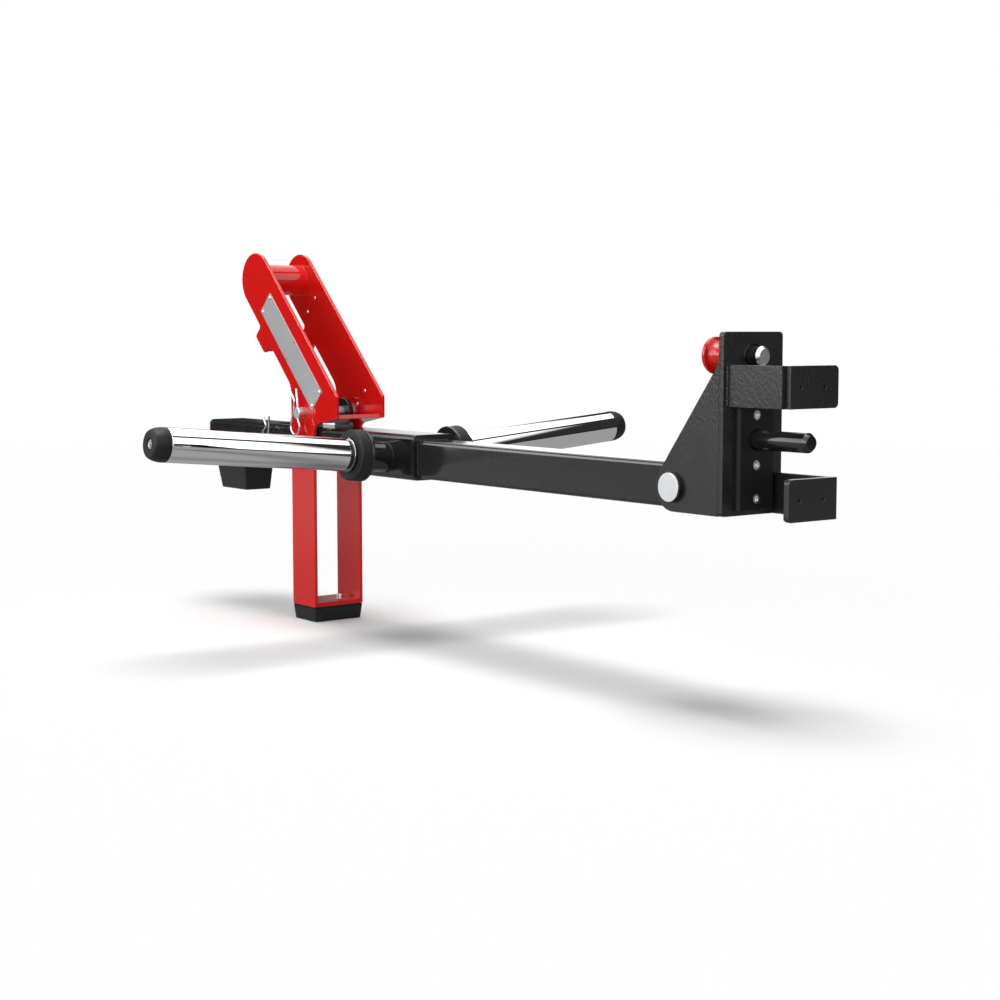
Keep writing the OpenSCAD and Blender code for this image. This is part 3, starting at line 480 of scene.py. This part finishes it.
def mirrored_studio(tree, x, y, z):
    angle = math_node(tree, "ARCTAN2", z, along(tree, x, y, TO_THE_RIGHT))
    boxes = tree.nodes.new("ShaderNodeValToRGB")
    ramp = boxes.color_ramp.elements
    while len(ramp) < len(BOXES):
        ramp.new(0.5)
    for element, (at, level) in zip(ramp, BOXES):
        element.position = at
        element.color = (level, level, level, 1.0)
    join(tree, math_node(tree, "MULTIPLY_ADD", angle, 0.5 / math.pi, 0.5), boxes.inputs["Fac"])
    cut = window(tree, (y, 0.55, 0.58, 0.0, 1.0), (z, 0.7, 0.74, 1.0, 0.0))
    level = math_node(tree, "MULTIPLY", boxes.outputs["Color"], math_node(tree, "SUBTRACT", 1.0, cut))
    patch = window(tree, (along(tree, x, y, INTO_THE_PICTURE), 0.91, 0.975, 0.03, 2.4),
                   (z, 0.0, 0.03, 0.0, 1.0))
    front = window(tree, (y, -0.8, -0.6, 5.2, 0.0), (z, -0.04, 0.06, 0.0, 1.0))
    low_left = window(tree, (z, 0.06, 0.1, 0.0, 5.0), (z, 0.52, 0.58, 1.0, 0.0),
                      (y, -0.25, -0.2, 1.0, 0.0), (x, -0.7, -0.66, 1.0, 0.0),
                      (x, -0.845, -0.8, 0.0, 1.0))
    for box in (patch, front, low_left):
        level = math_node(tree, "MAXIMUM", level, box)
    return level


print("stops of the long boxes", len(BOXES))

# %% Low fill and world
FILL_FROM = (0.5, -0.87)
FILL_STRENGTH = 5.5
FILL_FALL = 4.0
FILL_LEAST = 0.02


def low_fill(tree, x, y, z):
    """Light from near the horizon, strongest from the front."""
    low = math_node(tree, "SUBTRACT", 1.0, math_node(tree, "ABSOLUTE", z))
    low = math_node(tree, "POWER", low, FILL_FALL)
    front = math_node(tree, "MAXIMUM", along(tree, x, y, FILL_FROM), FILL_LEAST)
    return math_node(tree, "MULTIPLY", math_node(tree, "MULTIPLY", low, front), FILL_STRENGTH)


def make_world():
    world = bpy.data.worlds.new("studio")
    bpy.context.scene.world = world
    world.cycles.sampling_method = "NONE"
    world.use_nodes = True
    tree = world.node_tree
    tree.nodes.remove(tree.nodes["Background"])
    ray = tree.nodes.new("ShaderNodeLightPath")
    x, y, z = split(tree, tree.nodes.new("ShaderNodeTexCoord").outputs["Generated"])
    mirror, soft, white = (tree.nodes.new("ShaderNodeBackground") for _ in range(3))
    for sky in (mirror, soft, white):
        sky.inputs["Color"].default_value = (1.0, 1.0, 1.0, 1.0)
    join(tree, mirrored_studio(tree, x, y, z), mirror.inputs["Strength"])
    join(tree, low_fill(tree, x, y, z), soft.inputs["Strength"])
    shiny = math_node(tree, "MAXIMUM", ray.outputs["Is Glossy Ray"], ray.outputs["Is Transmission Ray"])
    result = soft.outputs[0]
    for mask, sky in ((shiny, mirror), (ray.outputs["Is Camera Ray"], white)):
        mix = tree.nodes.new("ShaderNodeMixShader")
        join(tree, mask, mix.inputs[0])
        join(tree, result, mix.inputs[1])
        join(tree, sky.outputs[0], mix.inputs[2])
        result = mix.outputs[0]
    join(tree, result, tree.nodes["World Output"].inputs["Surface"])
    return world


world = make_world()
bpy.context.scene.view_settings.view_transform = "Standard"
print("world nodes", len(world.node_tree.nodes))


# %% Sun through a large diffuser
def add_sun(name, direction, strength, width):
    lamp = bpy.data.lights.new(name, "SUN")
    lamp.energy = strength
    lamp.angle = math.radians(width)
    holder = bpy.data.objects.new(name, lamp)
    holder.rotation_euler = Vector(direction).to_track_quat("-Z", "Y").to_euler()
    bpy.context.scene.collection.objects.link(holder)
    return holder


sun = add_sun("overhead_diffuser", (0.04, 0.02, -1.0), strength=2.9, width=38.0)
print("sun", sun.name)

# %% [markdown]
# ## Softened plates and tubes
#
# A laser-cut plate or a drawn tube has no knife edges: each edge is broken by about half a
# millimetre, and the coat rounds it further, so every edge catches a line of light. The CAD solids
# are sharp. A copy of a node's mesh is welded back from loose triangles, its flat faces are
# dissolved to clean outlines, and its sharp edges are bevelled. Weighted normals then let the large
# flat faces stay flat while the narrow strips turn the light. That is less work than modelling each
# plate again, and keeps every hole where the CAD has it.

# %% Finished pieces
def keep(name, mesh, body, slot, replaced=()):
    """Links a finished mesh or curve as a piece of the object."""
    piece = bpy.data.objects.new(name, mesh)
    bpy.context.scene.collection.objects.link(piece)
    mesh.materials.append(FINISH[slot])
    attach(piece, body)
    if replaced:
        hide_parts(*replaced)
    return piece


def to_mesh(shape, name):
    for face in shape.faces:
        face.smooth = True
    mesh = bpy.data.meshes.new(name)
    shape.to_mesh(mesh)
    shape.free()
    return mesh


def level_faces(piece):
    """Large faces keep their own direction; small ones bend between them."""
    weigh = piece.modifiers.new("weighted_normals", "WEIGHTED_NORMAL")
    weigh.weight = 90
    weigh.keep_sharp = True
    return piece


def break_edges(shape, width, segments, crease):
    """Rounds every edge that turns by more than the crease angle."""
    sharp = [edge for edge in shape.edges
             if edge.is_manifold and edge.calc_face_angle() > math.radians(crease)]
    bmesh.ops.bevel(shape, geom=sharp, offset=width * MM, offset_type="OFFSET", segments=segments,
                    profile=0.5, affect="EDGES", clamp_overlap=False, material=-1)


print("slots to give", sorted(set(SLOT_OF.values())))

# %% Softened copies of CAD nodes
WELD_MM = 0.01
FLAT_DEGREES = 0.6


def soften(node, width, segments=2, crease=32.0):
    """A copy of a CAD node with its edges broken by width, in mm."""
    shape = bmesh.new()
    shape.from_mesh(frame["nodes"][node].data)
    bmesh.ops.remove_doubles(shape, verts=shape.verts, dist=WELD_MM * MM)
    bmesh.ops.dissolve_limit(shape, angle_limit=math.radians(FLAT_DEGREES), verts=shape.verts,
                             edges=shape.edges)
    break_edges(shape, width, segments, crease)
    name = node + "_soft"
    return level_faces(keep(name, to_mesh(shape, name), BODY_OF[node], SLOT_OF[node], (node,)))


EDGES = {
    "carriage": {"back_plate": 0.9, "gusset_near": 0.9, "gusset_far": 0.9, "upper_hook_arm": 0.7,
                 "upper_hook_lip": 0.9, "lower_hook_arm": 0.7, "lower_hook_lip": 0.9, "back_liner": 0.5,
                 "upper_lip_liner": 0.5, "lower_lip_liner": 0.5, "lip_liner_pins": 0.3, "liner_screws": 0.4,
                 "rack_pin": 0.7, "pop_pin_housing": 0.5, "pivot_collars": 0.6, "pivot_caps": 0.6},
    "lever": {"main_beam": 0.4, "carrier_tube": 0.4, "tube_end_plate": 0.8, "tube_end_cap": 1.2,
              "stand_lug_near": 0.8, "stand_lug_far": 0.8, "horn_bar_near": 0.5, "horn_bar_far": 0.5,
              "horn_disc_near": 0.7, "horn_disc_far": 0.7, "horn_ring_near": 0.8, "horn_ring_far": 0.8,
              "cap_screws": 0.4, "bumper": 2.2, "belt_pin": 0.9, "stand_pin": 0.9},
    "stand": {"stand_plate_near": 0.6, "stand_plate_far": 0.6, "handle_tube": 0.5, "heel_plate": 0.6,
              "stop_plate": 0.6, "foot_plate": 0.6, "foot_pad": 1.8, "foot_screws": 0.4, "stand_bushes": 0.4,
              "nameplate_near": 0.3, "nameplate_far": 0.3},
}
softened = {}
for body, nodes in EDGES.items():
    for node, width in nodes.items():
        softened[node] = soften(node, width)
    print("softened", len(nodes), "nodes of the", body)
for node in ("nameplate_near", "nameplate_far"):
    softened[node].data.materials[0] = NAMEPLATE_FACE

# %% [markdown]
# ## Turned pieces
#
# The pull knob is moulded in red plastic: a hub, a flare that opens to a rim for the fingers, and a
# low dome behind. The locking pin is a black rod whose tip is ground bright, so it slips into the
# rack's hole. All are lathe shapes. A profile is drawn beside the axis, spun once round it and then
# set on its own axis; stacked cylinders could not give the flare's sweep.

# %% Turning
def turned(name, profile, place, body, slot, replaced=(), edge=0.5, steps=80):
    """Spins a profile of (along, radius) in mm round X, then moves it by place."""
    shape = bmesh.new()
    points = [shape.verts.new((x * MM, 0.0, radius * MM)) for x, radius in profile]
    lines = [shape.edges.new(pair) for pair in zip(points, points[1:])]
    bmesh.ops.spin(shape, geom=points + lines, cent=(0.0, 0.0, 0.0), axis=(1.0, 0.0, 0.0),
                   angle=math.tau, steps=steps, use_merge=True)
    bmesh.ops.remove_doubles(shape, verts=shape.verts, dist=0.000001)
    bmesh.ops.recalc_face_normals(shape, faces=shape.faces)
    break_edges(shape, edge, 3, 30.0)
    bmesh.ops.transform(shape, matrix=place, verts=shape.verts)
    return level_faces(keep(name, to_mesh(shape, name), body, slot, replaced))


def sweep(start, end, r0, r1, steps, bulge):
    """Profile points on a quarter ellipse from r0 at start to r1 at end."""
    turns = [math.pi / 2 * step / steps for step in range(steps + 1)]
    if bulge:
        return [(start + (end - start) * math.sin(t), r1 + (r0 - r1) * math.cos(t)) for t in turns]
    return [(start + (end - start) * (1 - math.cos(t)), r0 + (r1 - r0) * math.sin(t)) for t in turns]


print("quarter ellipse", sweep(0.0, 2.0, 0.0, 1.0, 2, True))

# %% Pull knob
LOCK_Z = 100.0
PIN_AXIS = Matrix.Translation((0.0, 0.0, LOCK_Z * MM))
KNOB_FACE = -52.3
HUB_BACK = KNOB_FACE - 3.0
FLARE_BACK = KNOB_FACE - 17.0
RIM_BACK = KNOB_FACE - 21.0
KNOB_BACK = KNOB_FACE - 24.0
KNOB_R = 23.0
HUB_R = 13.0
knob_profile = [(KNOB_FACE, 0.0), (KNOB_FACE, HUB_R), (HUB_BACK, HUB_R)]
knob_profile += sweep(HUB_BACK, FLARE_BACK, HUB_R, KNOB_R, 12, True)[1:]
knob_profile += sweep(RIM_BACK, KNOB_BACK, KNOB_R, 0.0, 10, True)
turned("pull_knob_moulded", knob_profile, PIN_AXIS, "pop_pin", "knob_plastic", ("pull_knob",), edge=0.8)
print("knob points", len(knob_profile))

# %% Locking pin
PIN_R = 12.0
STEM_R = 6.0
GROOVE_R = 11.4
STEM_BACK = -67.3
SHOULDER = -22.0
TIP_FROM = 6.8
barrel_profile = [(STEM_BACK, 0.0), (STEM_BACK, STEM_R), (SHOULDER, STEM_R), (SHOULDER, PIN_R), (-9.0, PIN_R),
                  (-9.0, GROOVE_R), (-7.0, GROOVE_R), (-7.0, PIN_R), (TIP_FROM, PIN_R), (TIP_FROM, 0.0)]
tip_profile = [(TIP_FROM, 0.0), (TIP_FROM, PIN_R), (10.5, 8.5), (10.5, 0.0)]
turned("locking_pin_barrel", barrel_profile, PIN_AXIS, "pop_pin", "black_gloss", ("locking_pin",), edge=0.25)
turned("locking_pin_tip", tip_profile, PIN_AXIS, "pop_pin", "zinc_steel", edge=0.25)
print("locking pin points", len(barrel_profile) + len(tip_profile))

# %% [markdown]
# ## Locking spring
#
# A coil of round wire stands between the housing's floor and the pin's shoulder and pushes the pin
# home. Pulling the knob shortens it to half its length. One circle of wire is carried round the axis
# with a small step each time, the way a spring is wound. Here the coil rides with the pin at its full
# length, and a coil that kept its length would run out through the housing's floor.

# %% Winding the spring
COIL_ENDS = (-48.0, -22.0)
COIL_R = 9.0
COIL_WIRE_R = 1.0
COIL_TURNS = 6
TURN_STEPS = 24
coil = bmesh.new()
start = PIN_AXIS @ Matrix.Translation((COIL_ENDS[0] * MM + COIL_WIRE_R * MM, 0.0, COIL_R * MM))
bmesh.ops.create_circle(coil, segments=10, radius=COIL_WIRE_R * MM,
                        matrix=start @ Matrix.Rotation(math.radians(90.0), 4, "X"))
pitch = (COIL_ENDS[1] - COIL_ENDS[0] - 2 * COIL_WIRE_R) / (COIL_TURNS * TURN_STEPS)
bmesh.ops.spin(coil, geom=coil.verts[:] + coil.edges[:], cent=PIN_AXIS.translation, axis=(1.0, 0.0, 0.0),
               dvec=(pitch * MM, 0.0, 0.0), angle=math.tau * COIL_TURNS, steps=COIL_TURNS * TURN_STEPS)
bmesh.ops.holes_fill(coil, edges=[edge for edge in coil.edges if edge.is_boundary], sides=0)
bmesh.ops.recalc_face_normals(coil, faces=coil.faces)
spring = keep("locking_spring_coil", to_mesh(coil, "locking_spring_coil"), "pop_pin", "zinc_steel",
              ("locking_spring",))
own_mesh(spring)
print("spring", COIL_TURNS, "turns,", len(spring.data.polygons), "faces")

# %% [markdown]
# ## Weight sleeves
#
# Each sleeve is a chromed tube on the horn's bar. Behind it stands a dark neck that the chrome never
# reaches, with one thin bright ring at its step, where the plated edge shows. The end is closed by a
# moulded plastic cap: a rounded shoulder, a flat face and a dished hole for the screw. The horns rise
# outwards by five degrees, so the profiles are set on a tilted axis.

# %% Places along a horn
TILT = math.radians(5.0)
HORN_ROOT = Vector((-746.0, 0.0, -63.5))
BAR_R = 20.75
SLEEVE_R = 24.75
# The rest is measured along a horn, in mm from its root
NECK_FROM = 103.0
NECK_STEP = 107.0
SLEEVE_FROM = 114.5
SLEEVE_TO = 406.5
SHOULDER_FROM = 411.0
SHOULDER_TO = 433.0
CAP_FACE = 430.6
CAP_DISH = 423.0
SCREW_HOLE_R = 4.0


def horn_axis(side):
    return Vector((0.0, side * math.cos(TILT), math.sin(TILT)))


print("horns point to", [round(v, 3) for side in (-1, 1) for v in horn_axis(side)])


# %% Sleeves, necks and caps
def sleeve_piece(kind, label, profile, place, slot, replaced=(), edge=0.5, steps=96):
    return turned(kind + label, profile, place, "lever", slot, replaced, edge, steps)


for side, label in ((-1, "near"), (1, "far")):
    turn = horn_axis(side).to_track_quat("X", "Z").to_matrix().to_4x4()
    on_horn = Matrix.Translation(HORN_ROOT * MM) @ turn
    tube = [(SLEEVE_FROM, BAR_R), (SLEEVE_FROM, SLEEVE_R), (SLEEVE_TO, SLEEVE_R), (SLEEVE_TO, BAR_R),
            (SLEEVE_FROM, BAR_R)]
    sleeve_piece("sleeve_tube_", label, tube, on_horn, "sleeve_chrome", ("sleeve_" + label,), 0.6, 128)
    lip = [(NECK_STEP, 22.9), (NECK_STEP, 25.3), (NECK_STEP + 0.7, 25.3), (NECK_STEP + 0.7, 22.9),
           (NECK_STEP, 22.9)]
    sleeve_piece("sleeve_lip_", label, lip, on_horn, "sleeve_chrome", edge=0.25)
    neck = [(NECK_FROM, BAR_R), (NECK_FROM, 26.0), (NECK_STEP, 26.0), (NECK_STEP, 23.0), (SLEEVE_FROM, 23.0),
            (SLEEVE_FROM, BAR_R), (NECK_FROM, BAR_R)]
    sleeve_piece("sleeve_neck_", label, neck, on_horn, "black_gloss")
    shoulder = sweep(SHOULDER_FROM, SHOULDER_TO, SLEEVE_R, 14.0, 18, True)
    cap = [(SLEEVE_TO, SCREW_HOLE_R), (SLEEVE_TO, SLEEVE_R)]
    cap += [(at, radius) for at, radius in shoulder if at < CAP_FACE - 0.4]
    cap += [(CAP_FACE, 18.3), (CAP_FACE, 8.2), (CAP_DISH, 7.2), (CAP_DISH, SCREW_HOLE_R),
            (SLEEVE_TO, SCREW_HOLE_R)]
    sleeve_piece("sleeve_cap_moulded_", label, cap, on_horn, "cap_plastic", ("sleeve_cap_" + label,))
print("cap points", len(cap))

# %% [markdown]
# ## Rivets of the name plates
#
# Each bare name plate is held by four blind rivets with low domed heads, and their tails close as
# small domes inside the stand's plates. A dome is the upper half of a sphere, pressed flat: the
# sphere is cut by a plane and its open side is filled. Two small black domes sit half way along
# each plate's edges: painted shade, standing in for the dark inside of two holes.

# %% Handle arm's own directions
PIVOT = Vector((-966.0, 0.0, -1.0))
HEAD = PIVOT + Vector((-154.0, 0.0, 215.6))
DOWN_ARM = Vector((1.0, 0.0, -1.0)).normalized()
OUT_ARM = Vector((-1.0, 0.0, -1.0)).normalized()
PLATE_IN = 40.0
PLATE_OUT = 45.5
NAME_OUT = PLATE_OUT + 1.2


def on_arm(u, v, y):
    """The place u mm down the arm from its round head and v mm towards its outer edge."""
    return (HEAD + DOWN_ARM * u + OUT_ARM * v + Vector((0.0, y, 0.0))) * MM


print("arm's head at", [round(v, 1) for v in HEAD])


# %% Domed heads
def add_dome(shape, at, outward, radius, height):
    """A low dome on a plate, whose flat side faces the plate. It is made at the origin, where no
    other dome stands, and then moved."""
    made = bmesh.ops.create_uvsphere(shape, u_segments=20, v_segments=12, radius=radius * MM)["verts"]
    bmesh.ops.rotate(shape, verts=made, cent=(0, 0, 0), matrix=Matrix.Rotation(math.pi / 2, 3, "X"))
    geometry = made + list({edge for vert in made for edge in vert.link_edges}) \
        + list({face for vert in made for face in vert.link_faces})
    cut = bmesh.ops.bisect_plane(shape, geom=geometry, dist=0.0000001, plane_co=(0, 0, 0),
                                 plane_no=(0, outward, 0), clear_inner=True)
    rim = [item for item in cut["geom_cut"] if isinstance(item, bmesh.types.BMEdge)]
    bmesh.ops.edgeloop_fill(shape, edges=rim)
    dome = [vert for vert in shape.verts if vert.co.length < 10.0 * MM]
    bmesh.ops.scale(shape, vec=(1.0, height / radius, 1.0), verts=dome)
    bmesh.ops.translate(shape, vec=at, verts=dome)


def keep_domes(shape, name, slot, replaced=()):
    bmesh.ops.recalc_face_normals(shape, faces=shape.faces)
    return keep(name, to_mesh(shape, name), "stand", slot, replaced)


heads = bmesh.new()
for u in (56.5, 269.5):
    for v in (-13.5, 18.0):
        for side in (-1, 1):
            add_dome(heads, on_arm(u, v, side * NAME_OUT), side, radius=3.0, height=1.4)
            add_dome(heads, on_arm(u, v, side * PLATE_IN), -side, radius=2.8, height=1.5)
rivets = level_faces(keep_domes(heads, "nameplate_rivet_heads", "zinc_steel", ("nameplate_rivets",)))
print("rivet faces", len(rivets.data.polygons))

# %% Painted hole shade: black domes half way along the plates
# Painted shade: black domes where the plates have holes that are dark inside.
pins = bmesh.new()
for v in (-16.5, 21.0):
    for side in (-1, 1):
        add_dome(pins, on_arm(163.0, v, side * NAME_OUT), side, radius=1.3, height=0.5)
hole_shade_domes = keep_domes(pins, "nameplate_painted_hole_shades", "black_gloss")
print("pin faces", len(hole_shade_domes.data.polygons))

# %% [markdown]
# ## Spring clips
#
# Each pin is kept by an R-clip: a straight leg through the pin's cross hole, a round eye, and a
# bowed leg that snaps round the pin; the belt pin's clip is bowed further. It is one length of
# round wire, so a curve with a bevel depth is the natural way; a swept mesh would need its own
# frames along the bends.

# %% Clip wire
CLIP_WIRE_R = 1.7
EYE_R = 13.5
EYE_AT = (-8.5, -21.5)


def clip_points(bow, steps=28):
    """The wire's middle line; bow is how far the sprung leg stands off the straight one."""
    straight_leg = [(-4.6, 38.6), (-2.4, 25.0), (-0.2, 11.5), (0, 9), (0, -9), (0.4, -11.6), (2.2, -14.4)]
    turns = [math.radians(20 - 220 * i / steps) for i in range(steps + 1)]
    eye = [(EYE_AT[0] + EYE_R * math.cos(t), EYE_AT[1] + EYE_R * math.sin(t)) for t in turns]
    sprung_leg = [(-13.7 - 0.3 * bow, -8.0), (-1.4 - bow, -1.5), (-0.1 - bow, 4.5), (0.3 - bow, 10.5),
                  (-7.0 - 0.35 * bow, 15.5), (-10.2, 20.4), (-15.0, 25.5), (-22.0, 32.5)]
    return straight_leg + eye + sprung_leg


def add_clip(node, x, y, z, turn, bow):
    """A clip in the plane of X and Z, turned by turn degrees round its pin."""
    wire = bpy.data.curves.new(node + "_wire", "CURVE")
    wire.dimensions = "3D"
    wire.bevel_depth = CLIP_WIRE_R * MM
    wire.bevel_resolution = 4
    wire.use_fill_caps = True
    path = clip_points(bow)
    spline = wire.splines.new("POLY")
    spline.points.add(len(path) - 1)
    c, s = math.cos(math.radians(turn)), math.sin(math.radians(turn))
    for point, (a, b) in zip(spline.points, path):
        point.co = ((x + a * c + b * s) * MM, y * MM, (z - a * s + b * c) * MM, 1.0)
    spline.use_smooth = True
    return keep(node + "_wire", wire, "lever", "clip_wire", (node,))


add_clip("stand_pin_clip", PIVOT.x, -PLATE_OUT - 12.5, PIVOT.z, turn=0.0, bow=13.0)
add_clip("belt_pin_clip", -1085.0, -45.0, -49.5, turn=14.0, bow=18.0)
print("clip points", len(clip_points(bow=13.0)))

# %% [markdown]
# ## Weld beads
#
# The horns, the lugs, the beam, the handle and the carriage's plates are welded on, and each joint
# shows a thin rippled bead under the coat, which lies rougher there than on the drawn tube. A bead
# is a curve along the joint whose radius swells a little with every ripple, half sunk in the steel.
# Sculpting would look the same at this size and take far longer.

# %% Beads along a joint
RIPPLE = 0.14
RIPPLE_TURN = 2.1


def ring(centre, across_one, across_two, count):
    angles = [math.tau * i / count for i in range(count)]
    return [centre + across_one * math.cos(a) + across_two * math.sin(a) for a in angles]


def straight(start, end, pitch=1.6):
    """Points about a pitch apart on the line between two places given in mm."""
    start, end = Vector(start), Vector(end)
    count = max(2, int((end - start).length / pitch))
    return [start.lerp(end, i / count) for i in range(count + 1)]


def add_bead(name, runs, size, body, slot, closed):
    bead = bpy.data.curves.new(name, "CURVE")
    bead.dimensions = "3D"
    bead.bevel_depth = size * MM
    bead.bevel_resolution = 2
    bead.use_fill_caps = True
    for run in runs:
        spline = bead.splines.new("POLY")
        spline.points.add(len(run) - 1)
        for index, (point, at) in enumerate(zip(spline.points, run)):
            point.co = (*(at * MM), 1.0)
            point.radius = 1.0 + RIPPLE * math.sin(index * RIPPLE_TURN)
        spline.use_cyclic_u = closed
        spline.use_smooth = True
    print(name, sum(len(run) for run in runs), "points")
    return keep(name, bead, body, slot)


print("bead ripple", RIPPLE)

# %% Beads of the horns
X = Vector((1.0, 0.0, 0.0))
Y = Vector((0.0, 1.0, 0.0))
Z = Vector((0.0, 0.0, 1.0))
TUBE_HALF = 37.0
DISC_BACK = 79.6
for side, label in ((-1, "near"), (1, "far")):
    out = horn_axis(side)
    at_tube = HORN_ROOT + out * (TUBE_HALF / math.cos(TILT))
    at_disc = HORN_ROOT + out * DISC_BACK
    rise = X.cross(out)
    loops = [ring(at_tube + Y * side * 0.6, X * 22.9, Z * 23.0, 88),
             ring(at_disc, X * 22.9, rise * 22.9, 88)]
    add_bead("horn_beads_" + label, loops, 0.7, "lever", "carriage_coat", True)

# %% Beads of the beam and the lugs
BEAM_END = -672.2
BEAM_MID = -60.75
BEAM_SIDES = (((-26.0, 28.5), (26.0, 28.5)), ((29.2, 24.0), (29.2, -24.0)),
              ((26.0, -28.5), (-26.0, -28.5)), ((-29.2, -24.0), (-29.2, 24.0)))
beam_runs = [straight(*((BEAM_END, y, BEAM_MID + z) for y, z in line)) for line in BEAM_SIDES]
add_bead("beam_beads", beam_runs, 0.6, "lever", "carriage_coat", False)
LUG_FROM, LUG_TO = -987.0, -945.0
LUG_FOOT = -23.6
lug_runs = [straight((LUG_FROM, side * y, LUG_FOOT), (LUG_TO, side * y, LUG_FOOT))
            for side in (-1, 1) for y in (25.0, 33.0)]
add_bead("lug_beads", lug_runs, 1.0, "lever", "carriage_coat", False)

# %% Beads of the carriage
plate_runs = [straight((-16.3, side * 41.8, -89.0), (-16.3, side * 41.8, 88.0)) for side in (-1, 1)]
plate_runs += [straight((-7.8, -43.6, 41.0), (-7.8, -43.6, 89.0)),
               straight((-7.8, 43.6, -90.0), (-7.8, 43.6, -42.0))]
add_bead("carriage_beads", plate_runs, 1.2, "carriage", "carriage_coat", False)

# %% Beads of the stand
GRIP_BEAD_R = 25.2
grip = [ring(HEAD + Y * side * (PLATE_IN - 0.3), X * GRIP_BEAD_R, Z * GRIP_BEAD_R, 96) for side in (-1, 1)]
add_bead("handle_beads", grip, 0.5, "stand", "red_coat", True)
